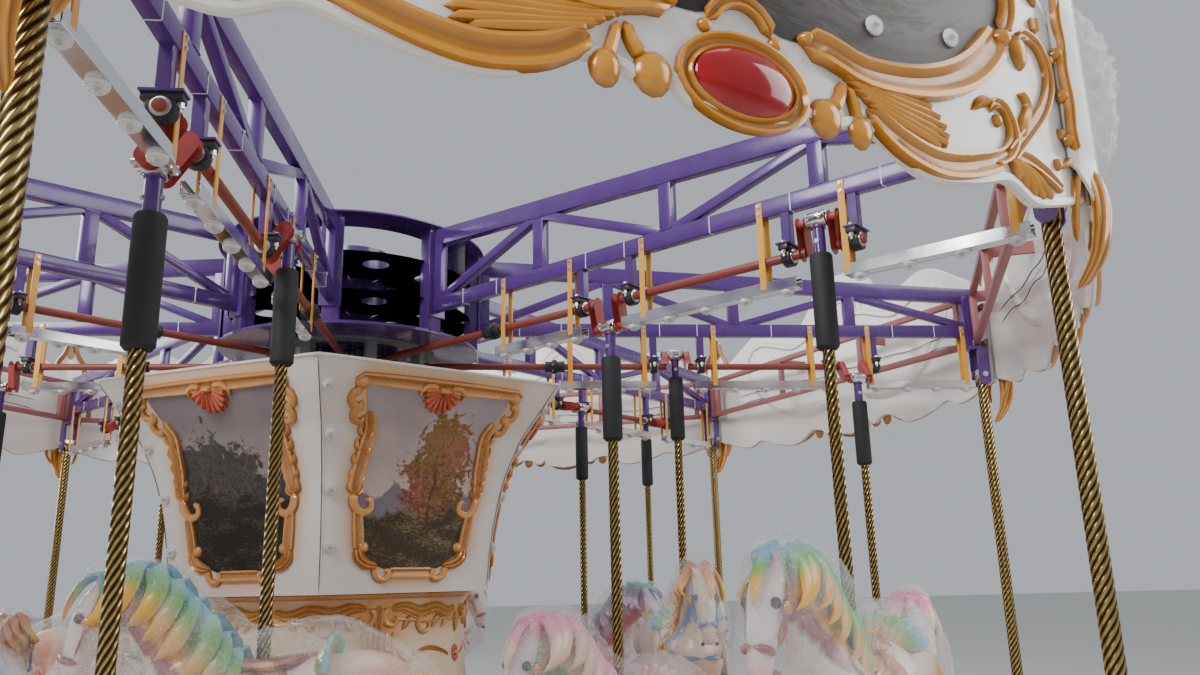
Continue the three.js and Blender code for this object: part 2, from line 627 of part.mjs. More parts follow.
for (let i = 0; i < SWEEPS; i += 1) {
  const number = i + 1;
  const phase = THREE.MathUtils.degToRad(CRANK_DEGREES[i]);
  const sweep = new THREE.Group();
  sweep.rotation.z = i * STEP;

  const pole = piece(`fixed_pole_${number}`, shared.pole, FINISHES.brass);
  pole.position.x = POLE_CIRCLE_R;
  const shaft = piece(`crankshaft_${number}`, shared.shaft, FINISHES.primer);
  shaft.position.z = CRANK_Z;
  shaft.rotation.x = phase;
  sweep.add(piece(`sweep_truss_${number}`, shared.truss, FINISHES.purple), pole, shaft);

  Object.entries(HORSE_ROWS).forEach(([row, r], index) => {
    const side = index === 0 ? 1 : -1;
    const mesh = piece(`horse_${row}_${number}`, shared.horse, FINISHES.horse);
    mesh.position.set(r, side * THROW * Math.cos(phase), CRANK_Z + side * THROW * Math.sin(phase));
    sweep.add(mesh);
  });
  ride.add(sweep);

  const side = new THREE.Group();
  side.rotation.z = (i + 0.5) * STEP;
  side.add(piece(`rounding_board_${number}`, shared.board, FINISHES.white));
  ride.add(side);
}

export default ride;
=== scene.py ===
"""Looks of a carousel without its canopy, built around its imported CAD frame.

Everything is in metres, +Z is up and the origin lies on the floor under the middle of the ride.
A sweep's own frame has x outwards along the sweep, y anticlockwise seen from above and z up.
"""

from __future__ import annotations

import json
import logging
import math
from dataclasses import dataclass
from enum import Enum
from typing import Callable, Iterable, Protocol, Sequence

import bmesh
import bpy
import numpy as np
from mathutils import Matrix, Vector, noise

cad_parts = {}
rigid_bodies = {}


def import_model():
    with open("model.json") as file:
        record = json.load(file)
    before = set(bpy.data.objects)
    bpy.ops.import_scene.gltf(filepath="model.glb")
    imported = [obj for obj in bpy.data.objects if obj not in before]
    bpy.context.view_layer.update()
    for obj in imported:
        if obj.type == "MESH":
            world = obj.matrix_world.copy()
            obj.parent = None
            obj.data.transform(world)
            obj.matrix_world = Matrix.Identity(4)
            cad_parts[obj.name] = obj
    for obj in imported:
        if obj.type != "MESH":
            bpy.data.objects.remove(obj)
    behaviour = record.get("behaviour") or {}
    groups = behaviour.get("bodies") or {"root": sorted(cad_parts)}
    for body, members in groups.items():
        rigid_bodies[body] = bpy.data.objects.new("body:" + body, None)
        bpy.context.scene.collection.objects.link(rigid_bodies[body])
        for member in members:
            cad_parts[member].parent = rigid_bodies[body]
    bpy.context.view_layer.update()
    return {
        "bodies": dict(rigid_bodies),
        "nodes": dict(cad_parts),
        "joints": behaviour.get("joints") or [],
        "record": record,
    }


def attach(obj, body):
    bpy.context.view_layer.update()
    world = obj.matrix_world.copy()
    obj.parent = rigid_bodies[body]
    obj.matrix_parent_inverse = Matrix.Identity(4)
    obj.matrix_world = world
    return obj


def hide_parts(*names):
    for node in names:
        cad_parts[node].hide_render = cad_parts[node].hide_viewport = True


LOG = logging.getLogger("carousel")
PHOTO_WIDTH = 1200
SHARP_EDGE = math.radians(38)
LAMP_RADIUS = 0.030

Point = tuple[float, float]
Colour = tuple[float, float, float]
Place = tuple[float, float, float]
Spine = tuple[tuple[float, float, float, float], ...]
Socket = bpy.types.NodeSocket


@dataclass(frozen=True)
class Layout:
    """Places that the whole ride shares."""

    sweeps: int = 8
    pole_circle: float = 4.000
    deck_top: float = 0.300
    crank_z: float = 2.928
    throw: float = 0.120
    inner_row: float = 2.010
    outer_row: float = 3.140
    hub_bottom: float = 3.002
    hub_top: float = 3.625

    @property
    def step(self) -> float:
        """The angle from one sweep to the next."""
        return 2 * math.pi / self.sweeps

    @property
    def numbers(self) -> range:
        """The sweeps' numbers."""
        return range(1, self.sweeps + 1)

    @property
    def rows(self) -> dict[str, float]:
        """The radius of each row of horses."""
        return {"inner": self.inner_row, "outer": self.outer_row}

    def sweep(self, number: int) -> Matrix:
        """Turn a piece made along +X to a sweep."""
        return Matrix.Rotation((number - 1) * self.step, 4, "Z")

    def side(self, number: int) -> Matrix:
        """Turn a piece made across +X to the board between two sweeps."""
        return Matrix.Rotation((number - 0.5) * self.step, 4, "Z")


RIDE = Layout()


# Finishes


@dataclass(frozen=True)
class Finish:
    """A surface finish with fine colour changes, uneven gloss and a fine relief.

    Each material reads object coordinates. Where a second colour is given, the colour turns to it where the
    mesh attribute "shade" falls. On carved work "shade" is 1 on raised parts and falls to 0 in the grooves,
    which paints shade into them; on the drum's halo and the casing's panels it marks real airbrushed colour.
    """

    name: str
    colour: Colour
    roughness: float = 0.4
    metallic: float = 0.0
    coat: float = 0.0
    mottle: float = 0.10
    mottle_scale: float = 6.0
    gloss_change: float = 0.08
    relief: float = 0.05
    relief_scale: float = 60.0
    relief_depth: float = 0.001
    # Painted shade in carved grooves, and real airbrushed colour on the halo and the casing panels.
    shade_and_airbrush: Colour | None = None

    def material(self) -> bpy.types.Material:
        """The finish as a node material, made once."""
        known = bpy.data.materials.get(self.name)
        if known:
            return known
        made = bpy.data.materials.new(self.name)
        made.use_nodes = True
        wiring = Wiring(made.node_tree)
        self.paint(wiring)
        return made

    def paint(self, wiring: Wiring) -> None:
        """Wire the nodes.

        Args:
            wiring: The node tree being wired.
        """
        shader = wiring.shader
        shader.inputs["Metallic"].default_value = self.metallic
        shader.inputs["Coat Weight"].default_value = self.coat
        shader.inputs["Coat Roughness"].default_value = 0.08
        place = wiring.object_place()
        cloudy = wiring.noise(place, self.mottle_scale, 4)
        colour = wiring.mix(cloudy, scaled(self.colour, 1 - self.mottle),
                            scaled(self.colour, 1 + self.mottle))
        # Painted shade: the colour turns darker where the "shade" attribute falls, in the grooves of carved
        # work; the halo and casing panels use the same mix for real airbrush.
        if self.shade_and_airbrush:
            colour = wiring.mix(wiring.attribute("shade"), self.shade_and_airbrush, colour)
        wiring.link(colour, shader.inputs["Base Color"])
        gloss = wiring.span(cloudy, self.roughness - self.gloss_change, self.roughness + self.gloss_change)
        wiring.link(gloss, shader.inputs["Roughness"])
        grain = wiring.noise(place, self.relief_scale, 3)
        wiring.bump(grain, self.relief, self.relief_depth)


def scaled(colour: Colour, factor: float) -> Colour:
    """A colour made lighter or darker."""
    return tuple(min(1.0, max(0.0, part * factor)) for part in colour)


class Wiring:
    """Short names for the nodes that the finishes use."""

    def __init__(self, tree: bpy.types.NodeTree) -> None:
        """Start from the tree's own shader."""
        self.tree = tree
        self.shader = tree.nodes["Principled BSDF"]

    def node(self, kind: str, **values: object) -> bpy.types.Node:
        """Add a node and set its options."""
        made = self.tree.nodes.new(kind)
        for key, value in values.items():
            setattr(made, key, value)
        return made

    def link(self, source: object, target: Socket) -> None:
        """Feed a socket from another socket, or give it a plain value."""
        if isinstance(source, Socket):
            self.tree.links.new(source, target)
        elif isinstance(source, (tuple, list)):
            target.default_value = (*source, 1.0) if len(target.default_value) == 4 else tuple(source)
        else:
            target.default_value = source

    def object_place(self) -> Socket:
        """Where a point lies in the ride's frame."""
        return self.node("ShaderNodeTexCoord").outputs["Object"]

    def uv_place(self) -> Socket:
        """Where a point lies on the piece's own UV map."""
        return self.node("ShaderNodeTexCoord").outputs["UV"]

    def stretch(self, place: Socket, scale: Sequence[float], shift: Sequence[float] = (0, 0, 0)) -> Socket:
        """Scale and shift coordinates."""
        made = self.node("ShaderNodeMapping")
        self.link(place, made.inputs["Vector"])
        made.inputs["Scale"].default_value = scale
        made.inputs["Location"].default_value = shift
        return made.outputs["Vector"]

    def noise(self, place: Socket, scale: float, detail: float, distortion: float = 0.0) -> Socket:
        """Cloudy noise from 0 to 1."""
        made = self.node("ShaderNodeTexNoise")
        self.link(place, made.inputs["Vector"])
        made.inputs["Scale"].default_value = scale
        made.inputs["Detail"].default_value = detail
        made.inputs["Distortion"].default_value = distortion
        return made.outputs["Fac"]

    def cells(self, place: Socket, scale: float) -> Socket:
        """Distance to the nearest of many scattered points."""
        made = self.node("ShaderNodeTexVoronoi", feature="F1")
        self.link(place, made.inputs["Vector"])
        made.inputs["Scale"].default_value = scale
        return made.outputs["Distance"]

    def attribute(self, name: str, output: str = "Fac") -> Socket:
        """A value kept on the mesh."""
        return self.node("ShaderNodeAttribute", attribute_name=name).outputs[output]

    def math(self, operation: str, first: object, second: object = 0.0) -> Socket:
        """One step of arithmetic."""
        made = self.node("ShaderNodeMath", operation=operation)
        self.link(first, made.inputs[0])
        self.link(second, made.inputs[1])
        return made.outputs[0]

    def plus(self, first: object, second: object) -> Socket:
        """The sum of two values."""
        return self.math("ADD", first, second)

    def minus(self, first: object, second: object) -> Socket:
        """The first value less the second."""
        return self.math("SUBTRACT", first, second)

    def times(self, first: object, second: object) -> Socket:
        """Two values multiplied."""
        return self.math("MULTIPLY", first, second)

    def split(self, place: Socket) -> tuple[Socket, ...]:
        """The three coordinates one by one."""
        made = self.node("ShaderNodeSeparateXYZ")
        self.link(place, made.inputs[0])
        return made.outputs[0], made.outputs[1], made.outputs[2]

    def span(self, source: Socket, low: float, high: float, first: float = 0.3, last: float = 0.7) -> Socket:
        """Spread a value from one span to another.

        Args:
            source: The value to spread.
            low: The result at `first`.
            high: The result at `last`.
            first: Where the span of the source starts.
            last: Where it ends.

        Returns:
            The socket with the spread value.
        """
        made = self.node("ShaderNodeMapRange")
        self.link(source, made.inputs["Value"])
        for name, value in (("From Min", first), ("From Max", last), ("To Min", low), ("To Max", high)):
            made.inputs[name].default_value = value
        return made.outputs["Result"]

    def mix(self, factor: object, first: object, second: object) -> Socket:
        """Mix two colours. A mix node's colours are its sockets 6 and 7, and its result is its socket 2."""
        made = self.node("ShaderNodeMix", data_type="RGBA", blend_type="MIX")
        self.link(factor, made.inputs["Factor"])
        self.link(first, made.inputs[6])
        self.link(second, made.inputs[7])
        return made.outputs[2]

    def bump(self, height: Socket, strength: float, depth: float) -> None:
        """A fine relief in the shader's normal."""
        made = self.node("ShaderNodeBump")
        made.inputs["Strength"].default_value = strength
        made.inputs["Distance"].default_value = depth
        self.link(height, made.inputs["Height"])
        self.link(made.outputs["Normal"], self.shader.inputs["Normal"])


@dataclass(frozen=True)
class Clear(Finish):
    """Clear plastic that lets light through."""

    alpha: float = 0.45

    def paint(self, wiring: Wiring) -> None:
        """Wire the plain finish and let light through it."""
        super().paint(wiring)
        wiring.shader.inputs["Alpha"].default_value = self.alpha


@dataclass(frozen=True)
class Brass(Finish):
    """Polished brass with painted shade, near black, in the grooves of its twist."""

    # The painted shade in the grooves.
    dark: Colour = (0.040, 0.026, 0.009)

    def paint(self, wiring: Wiring) -> None:
        """Paint shade into the grooves and keep the crests bright."""
        super().paint(wiring)
        shader = wiring.shader
        shade = wiring.attribute("shade")
        tone = wiring.noise(wiring.object_place(), 9.0, 3)
        crest = wiring.mix(tone, scaled(self.colour, 0.80), scaled(self.colour, 1.15))
        # Painted shade: the colour falls to the near-black groove colour where the shade attribute is low.
        depth = wiring.span(shade, 0.0, 1.0, 0.38, 1.0)
        wiring.link(wiring.mix(depth, self.dark, crest), shader.inputs["Base Color"])
        wiring.link(wiring.span(shade, 0.46, 0.17, 0.1, 0.9), shader.inputs["Roughness"])


class Scene(Enum):
    """The kinds of painted landscape."""

    MEADOW = "autumn meadow"
    DUSK = "hills at dusk"
    WOOD = "edge of a wood"


@dataclass(frozen=True)
class Landscape(Finish):
    """A printed landscape: a sky, far hills, a tree and a meadow, drawn on the piece's UV map."""

    scene: Scene = Scene.MEADOW
    sky_top: Colour = (0.40, 0.36, 0.42)
    sky_low: Colour = (0.62, 0.52, 0.44)
    hill: Colour = (0.22, 0.19, 0.22)
    leaf: Colour = (0.13, 0.055, 0.030)
    leaf_light: Colour = (0.40, 0.17, 0.10)
    leaf_other: Colour = (0.28, 0.19, 0.06)
    ground: Colour = (0.06, 0.045, 0.03)
    ground_light: Colour = (0.28, 0.22, 0.10)
    horizon: float = 0.34
    crown: float = 0.62
    crown_at: float = 0.62
    seed: float = 0.0

    def paint(self, wiring: Wiring) -> None:
        """Draw the landscape from back to front."""
        shader = wiring.shader
        shader.inputs["Roughness"].default_value = self.roughness
        shader.inputs["Coat Weight"].default_value = self.coat
        shader.inputs["Specular IOR Level"].default_value = 0.25
        place = wiring.uv_place()
        across, up, _ = wiring.split(place)
        wide = wiring.stretch(place, (1.0, 1.6, 1.0), (self.seed, self.seed * 0.7, 0))
        clouds = wiring.noise(wide, 2.4, 5)
        sky = wiring.mix(wiring.span(up, 0, 1, self.horizon, 0.95), self.sky_low, self.sky_top)
        sky = wiring.mix(wiring.span(clouds, 0, 0.55, 0.45, 0.75), sky, scaled(self.sky_low, 1.25))
        ridge = wiring.noise(wiring.stretch(place, (1.7, 0.02, 1.0), (self.seed + 3, 0, 0)), 1.6, 3)
        ridge_top = wiring.span(ridge, self.horizon - 0.03, self.horizon + 0.20, 0.25, 0.75)
        hills = wiring.span(wiring.minus(ridge_top, up), 0, 1, -0.006, 0.012)
        view = wiring.mix(hills, sky, wiring.mix(clouds, scaled(self.hill, 0.75), scaled(self.hill, 1.3)))
        view = self.trees(wiring, place, across, up, view)
        view = self.meadow(wiring, place, up, view)
        wiring.link(view, shader.inputs["Base Color"])
        wiring.bump(wiring.noise(wiring.stretch(place, (1, 1.6, 1)), 160, 2), 0.08, 0.0006)

    def trees(self, wiring: Wiring, place: Socket, across: Socket, up: Socket, view: Socket) -> Socket:
        """A ragged crown of dabbed leaves on a thin trunk, over the view.

        Args:
            wiring: The node tree being wired.
            place: The UV coordinates.
            across: The first of them.
            up: The second of them.
            view: The colours behind the tree.

        Returns:
            The colours with the tree.
        """
        leaves = wiring.stretch(place, (1.0, 1.4, 1.0), (self.seed * 2, 0, 0))
        lobes = wiring.noise(leaves, 3.4, 3, 0.5)
        ragged = wiring.noise(leaves, 19.0, 5, 0.7)
        dabs = wiring.cells(leaves, 74.0)
        hue = wiring.span(wiring.noise(leaves, 2.6, 3), 0, 1, 0.40, 0.60)
        width = 0.30 if self.scene is Scene.MEADOW else 0.55
        from_side = wiring.math("DIVIDE", wiring.minus(across, self.crown_at), width)
        from_middle = wiring.math("DIVIDE", wiring.minus(up, self.crown * 0.86), 0.32)
        reach = wiring.plus(wiring.times(from_side, from_side), wiring.times(from_middle, from_middle))
        reach = wiring.plus(reach, wiring.times(wiring.minus(lobes, 0.5), 2.2))
        reach = wiring.plus(reach, wiring.times(wiring.minus(ragged, 0.5), 2.4))
        crown = wiring.span(reach, 1, 0, 0.76, 1.0)
        high = wiring.times(wiring.minus(up, self.crown), 0.7)
        light = wiring.plus(wiring.plus(ragged, wiring.times(dabs, 0.7)), high)
        tone = wiring.mix(hue, self.leaf_light, self.leaf_other)
        view = wiring.mix(crown, view, wiring.mix(wiring.span(light, 0, 1, 0.50, 1.0), self.leaf, tone))
        bend = wiring.times(wiring.minus(lobes, 0.5), 0.12)
        beside = wiring.math("ABSOLUTE", wiring.plus(bend, wiring.minus(across, self.crown_at)))
        trunk = wiring.times(wiring.span(beside, 0.8, 0, 0.010, 0.018),
                            wiring.span(up, 1, 0, self.crown - 0.10, self.crown + 0.05))
        return wiring.mix(trunk, view, scaled(self.leaf, 0.8))

    def meadow(self, wiring: Wiring, place: Socket, up: Socket, view: Socket) -> Socket:
        """Dark ground with lighter tufts in front.

        Args:
            wiring: The node tree being wired.
            place: The UV coordinates.
            up: The second of them.
            view: The colours behind the ground.

        Returns:
            The finished picture.
        """
        bank = wiring.noise(wiring.stretch(place, (2.2, 0.05, 1.0), (self.seed, 2, 0)), 2.0, 4)
        bank_top = wiring.span(bank, self.horizon - 0.10, self.horizon + 0.06, 0.25, 0.75)
        near = wiring.span(wiring.minus(bank_top, up), 0, 1, -0.01, 0.02)
        grass = wiring.stretch(place, (1.0, 3.0, 1.0), (0, self.seed, 0))
        tufts = wiring.plus(wiring.noise(grass, 34.0, 3, 0.7), wiring.noise(grass, 3.0, 3, 0.6))
        lit = wiring.span(tufts, 0, 1, 0.98, 1.30)
        return wiring.mix(near, view, wiring.mix(lit, self.ground, self.ground_light))


@dataclass(frozen=True)
class Boards(Finish):
    """Varnished floor boards that run along y, with dark joints between them."""

    board_width: float = 0.14

    def paint(self, wiring: Wiring) -> None:
        """Wire grain, boards of slightly different tone and their joints."""
        shader = wiring.shader
        place = wiring.object_place()
        across, _, _ = wiring.split(place)
        count = wiring.math("DIVIDE", across, self.board_width)
        part = wiring.math("FRACT", count)
        number = wiring.math("FLOOR", count)
        tone = wiring.node("ShaderNodeTexWhiteNoise", noise_dimensions="1D")
        wiring.link(number, tone.inputs["W"])
        grain = wiring.noise(wiring.stretch(place, (38.0, 1.6, 38.0)), 1.0, 4, 0.6)
        wood = wiring.mix(grain, scaled(self.colour, 0.62), scaled(self.colour, 1.25))
        wood = wiring.mix(wiring.span(tone.outputs["Value"], 0, 0.45, 0, 1), wood, scaled(self.colour, 0.55))
        middle = wiring.math("ABSOLUTE", wiring.minus(part, 0.5))
        joint = wiring.span(middle, 0, 1, 0.470, 0.490)
        wiring.link(wiring.mix(joint, wood, (0.03, 0.02, 0.012)), shader.inputs["Base Color"])
        wiring.link(wiring.span(grain, self.roughness - 0.08, self.roughness + 0.1),
                    shader.inputs["Roughness"])
        height = wiring.minus(grain, wiring.times(joint, 4.0))
        wiring.bump(height, 0.3, 0.002)


@dataclass(frozen=True)
class FilmFinish(Finish):
    """Clear bubble film: milky, with small bubbles whose middles are painted lighter and more opaque for the
    light they catch.
    """

    alpha: float = 0.42

    def paint(self, wiring: Wiring) -> None:
        """Wire the bubbles and the milky cast."""
        shader = wiring.shader
        place = wiring.object_place()
        bubbles = wiring.cells(place, 95.0)
        folds = wiring.noise(place, 7.0, 4, 0.5)
        # Painted sparkle: the bubbles are real, and their lighter, more opaque middles stand for light caught
        # in them.
        wiring.link(wiring.mix(bubbles, scaled(self.colour, 1.05), scaled(self.colour, 0.86)),
                    shader.inputs["Base Color"])
        wiring.link(wiring.span(bubbles, 0.16, 0.5, 0.1, 0.7), shader.inputs["Roughness"])
        thick = wiring.plus(wiring.span(folds, self.alpha - 0.08, self.alpha + 0.14),
                            wiring.span(bubbles, 0.07, -0.04, 0.15, 0.6))
        wiring.link(thick, shader.inputs["Alpha"])
        shader.inputs["Specular IOR Level"].default_value = 0.8
        wiring.bump(wiring.minus(folds, wiring.times(bubbles, 0.5)), 0.8, 0.005)


@dataclass(frozen=True)
class HorsePaint(Finish):
    """Airbrushed horse paint, whose colours are kept on the mesh as the attribute "coat"."""

    def paint(self, wiring: Wiring) -> None:
        """Wire the airbrushed colours with a fine spray."""
        super().paint(wiring)
        spray = wiring.noise(wiring.object_place(), 220.0, 2)
        coat = wiring.attribute("coat", "Color")
        wiring.link(wiring.mix(wiring.span(spray, 0.0, 0.07), coat, (0.96, 0.90, 0.88)),
                    wiring.shader.inputs["Base Color"])


PURPLE = Finish("purple_enamel", (0.078, 0.026, 0.180), 0.26, coat=0.35, mottle=0.10, relief=0.12,
                relief_scale=45)
PRIMER = Finish("red_primer_paint", (0.235, 0.045, 0.032), 0.42, mottle=0.22, relief=0.15, relief_scale=80)
WEB_RED = Finish("red_web_paint", (0.380, 0.050, 0.045), 0.34, coat=0.3, mottle=0.18)
YELLOW = Finish("yellow_enamel", (0.800, 0.380, 0.030), 0.32, coat=0.4, mottle=0.12)
CHROME = Finish("polished_chrome", (0.72, 0.72, 0.74), 0.13, metallic=1.0, mottle=0.10, gloss_change=0.06)
ZINC = Finish("zinc_fasteners", (0.66, 0.66, 0.65), 0.30, metallic=1.0, mottle=0.15)
CASTING = Finish("black_castings", (0.022, 0.022, 0.024), 0.42, mottle=0.25, relief=0.3, relief_scale=110)
RUBBER = Finish("black_sleeves", (0.014, 0.015, 0.017), 0.72, mottle=0.15, relief=0.35, relief_scale=140)
STEEL = Finish("grey_steel_paint", (0.20, 0.21, 0.22), 0.45, mottle=0.18, relief=0.15)
GELCOAT = Finish("white_gelcoat", (0.80, 0.775, 0.73), 0.22, coat=0.5, mottle=0.035, mottle_scale=2.5,
                 relief=0.05, relief_scale=18)
CREAM = Finish("cream_gelcoat", (0.76, 0.68, 0.53), 0.22, coat=0.6, mottle=0.07, mottle_scale=3.0,
               relief=0.05)
# GOLD, ROSE, COPPER and BRONZE darken to their last colour in carved grooves and at the feet of bosses:
# painted shade.
GOLD = Finish("orange_gold_paint", (0.720, 0.310, 0.035), 0.26, metallic=0.15, coat=0.3, mottle=0.14,
              mottle_scale=9, relief=0.10, relief_scale=40, shade_and_airbrush=(0.160, 0.050, 0.008))
ROSE = Finish("rose_shell_paint", (0.600, 0.130, 0.060), 0.26, coat=0.5, mottle=0.14,
              shade_and_airbrush=(0.30, 0.030, 0.020))
HALO = Finish("airbrushed_halo", (0.80, 0.775, 0.73), 0.22, coat=0.5, mottle=0.03, shade_and_airbrush=(0.78, 0.50, 0.28))
AIRBRUSH = Finish("airbrushed_cream", (0.86, 0.72, 0.50), 0.24, coat=0.4, mottle=0.05,
                  shade_and_airbrush=(0.74, 0.40, 0.12))
GEM = Finish("red_gem", (0.31, 0.001, 0.003), 0.12, coat=0.3, mottle=0.20, mottle_scale=14, relief=0.02)
BRASS = Brass("twisted_brass_tube", (0.640, 0.455, 0.165), 0.20, metallic=1.0, relief=0.08, relief_scale=120)
LAMP_CAP = Clear("clear_lamp_caps", (0.86, 0.88, 0.88), 0.10, mottle=0.05, alpha=0.50)
SHIELD_FILM = Clear("clear_shield_film", (0.82, 0.84, 0.84), 0.10, mottle=0.08, relief=0.8, relief_scale=26,
                    relief_depth=0.012, alpha=0.26)
CABLE_TIE = Finish("white_cable_ties", (0.72, 0.72, 0.70), 0.40, mottle=0.06)
COPPER = Finish("copper_gold_paint", (0.760, 0.380, 0.120), 0.28, metallic=0.25, coat=0.4, mottle=0.14,
                mottle_scale=9, relief=0.10, relief_scale=40, shade_and_airbrush=(0.200, 0.070, 0.020))
BRONZE = Finish("brown_bronze_paint", (0.760, 0.400, 0.120), 0.30, metallic=0.2, coat=0.3, mottle=0.16,
                mottle_scale=9, relief=0.12, relief_scale=40, shade_and_airbrush=(0.160, 0.060, 0.020))
PINK_PRIMER = Finish("pink_rail_primer", (0.340, 0.120, 0.120), 0.44, mottle=0.20, relief=0.15,
                     relief_scale=70)
DECKING = Boards("varnished_deck", (0.36, 0.20, 0.09), 0.34)
HORSE = HorsePaint("airbrushed_horse", (0.93, 0.86, 0.86), 0.30, coat=0.5)
HAIR = HorsePaint("airbrushed_hair", (0.93, 0.86, 0.86), 0.36, coat=0.3)
TACK = HorsePaint("airbrushed_tack", (0.93, 0.86, 0.86), 0.28, coat=0.6)
FILM = FilmFinish("bubble_film", (0.86, 0.88, 0.88), 0.30, alpha=0.20)
MEADOW = Landscape("meadow_print", (0.3, 0.25, 0.2), 0.32)
DUSK = Landscape("dusk_print", (0.1, 0.1, 0.1), 0.34, scene=Scene.DUSK, sky_top=(0.20, 0.18, 0.21),
                 sky_low=(0.30, 0.25, 0.23), hill=(0.055, 0.05, 0.06), leaf=(0.022, 0.02, 0.022),
                 leaf_light=(0.10, 0.08, 0.07), leaf_other=(0.07, 0.07, 0.06), ground=(0.02, 0.017, 0.015),
                 ground_light=(0.10, 0.08, 0.06), horizon=0.45, crown=0.55, crown_at=0.25, seed=5.3)
WOOD = Landscape("wood_print", (0.1, 0.1, 0.1), 0.40, scene=Scene.WOOD, sky_top=(0.075, 0.058, 0.064),
                 sky_low=(0.10, 0.072, 0.072), hill=(0.060, 0.040, 0.040), leaf=(0.012, 0.017, 0.008),
                 leaf_light=(0.060, 0.080, 0.030), leaf_other=(0.070, 0.055, 0.040),
                 ground=(0.014, 0.012, 0.011), ground_light=(0.085, 0.070, 0.055),
                 horizon=0.20, crown=0.55, crown_at=0.30, seed=8.1)


# Shaping


def blend(first: float, second: float, share: float) -> float:
    """A value part of the way from one to another."""
    return first + (second - first) * share


def along_list(values: Sequence[float], share: float) -> float:
    """Read a list of evenly spaced values at a share of its length."""
    at = min(max(share, 0.0), 1.0) * (len(values) - 1)
    low = min(int(at), len(values) - 2) if len(values) > 1 else 0
    return values[0] if len(values) == 1 else blend(values[low], values[low + 1], at - low)


def between(knots: Sequence[Point], at: float) -> float:
    """Read the straight lines between knots of (place, value) with rising places."""
    if at <= knots[0][0]:
        return knots[0][1]
    for (x0, y0), (x1, y1) in zip(knots, knots[1:]):
        if at <= x1:
            share = (at - x0) / (x1 - x0)
            return blend(y0, y1, share)
    return knots[-1][1]


def curve_through(points: Sequence[Point], spacing: float) -> list[Point]:
    """A smooth line through points, with even steps.

    Args:
        points: The points that the line passes.
        spacing: The length of a step.

    Returns:
        The points along the line.
    """
    if len(points) < 3:
        dense = [tuple(Vector(points[0]).lerp(Vector(points[-1]), i / 8)) for i in range(9)]
    else:
        ends = [2 * Vector(points[0]) - Vector(points[1]), 2 * Vector(points[-1]) - Vector(points[-2])]
        knots = [ends[0], *(Vector(p) for p in points), ends[1]]
        dense = []
        for a, b, c, d in zip(knots, knots[1:], knots[2:], knots[3:]):
            for i in range(8):
                t = i / 8
                dense.append(tuple(0.5 * (2 * b + (c - a) * t + (2 * a - 5 * b + 4 * c - d) * t * t
                                          + (3 * b - a - 3 * c + d) * t ** 3)))
        dense.append(tuple(points[-1]))
    return even_steps(dense, spacing)


def smooth_line(knots: Sequence[Point]) -> Callable[[float], float]:
    """A smooth line through knots with rising places, the same on both sides of zero."""
    dense = curve_through(knots, (knots[-1][0] - knots[0][0]) / 90)
    return lambda at: between(dense, abs(at))


def even_steps(points: Sequence[Point], spacing: float) -> list[Point]:
    """Points at even distances along a line of short pieces."""
    lengths = [math.dist(a, b) for a, b in zip(points, points[1:])]
    total = sum(lengths)
    count = max(4, round(total / spacing))
    result = [points[0]]
    done, piece = 0.0, 0
    for i in range(1, count):
        target = total * i / count
        while piece < len(lengths) - 1 and done + lengths[piece] < target:
            done += lengths[piece]
            piece += 1
        share = (target - done) / max(lengths[piece], 1e-9)
        result.append(tuple(Vector(points[piece]).lerp(Vector(points[piece + 1]), share)))
    result.append(points[-1])
    return result


class Section(Enum):
    """Cross-sections of a carved stroke, as heights from one edge to the other."""

    ROUND = (0.0, 0.74, 1.0, 0.74, 0.0)
    TROUGH = (0.0, 0.90, 0.92, 0.42, 0.38, 0.86, 0.72, 0.0)
    RIDGE = (0.0, 0.35, 0.55, 1.0, 0.60, 0.30, 0.0)
    LEAF = (0.0, 0.62, 0.42, 1.0, 0.42, 1.0, 0.42, 0.62, 0.0)
    SIMPLE = (0.0, 0.90, 0.90, 0.0)


class Surface(Protocol):
    """A surface that ornament lies on."""

    def at(self, along: float, up: float, proud: float) -> Vector:
        """The point at a place on the surface, raised off it."""


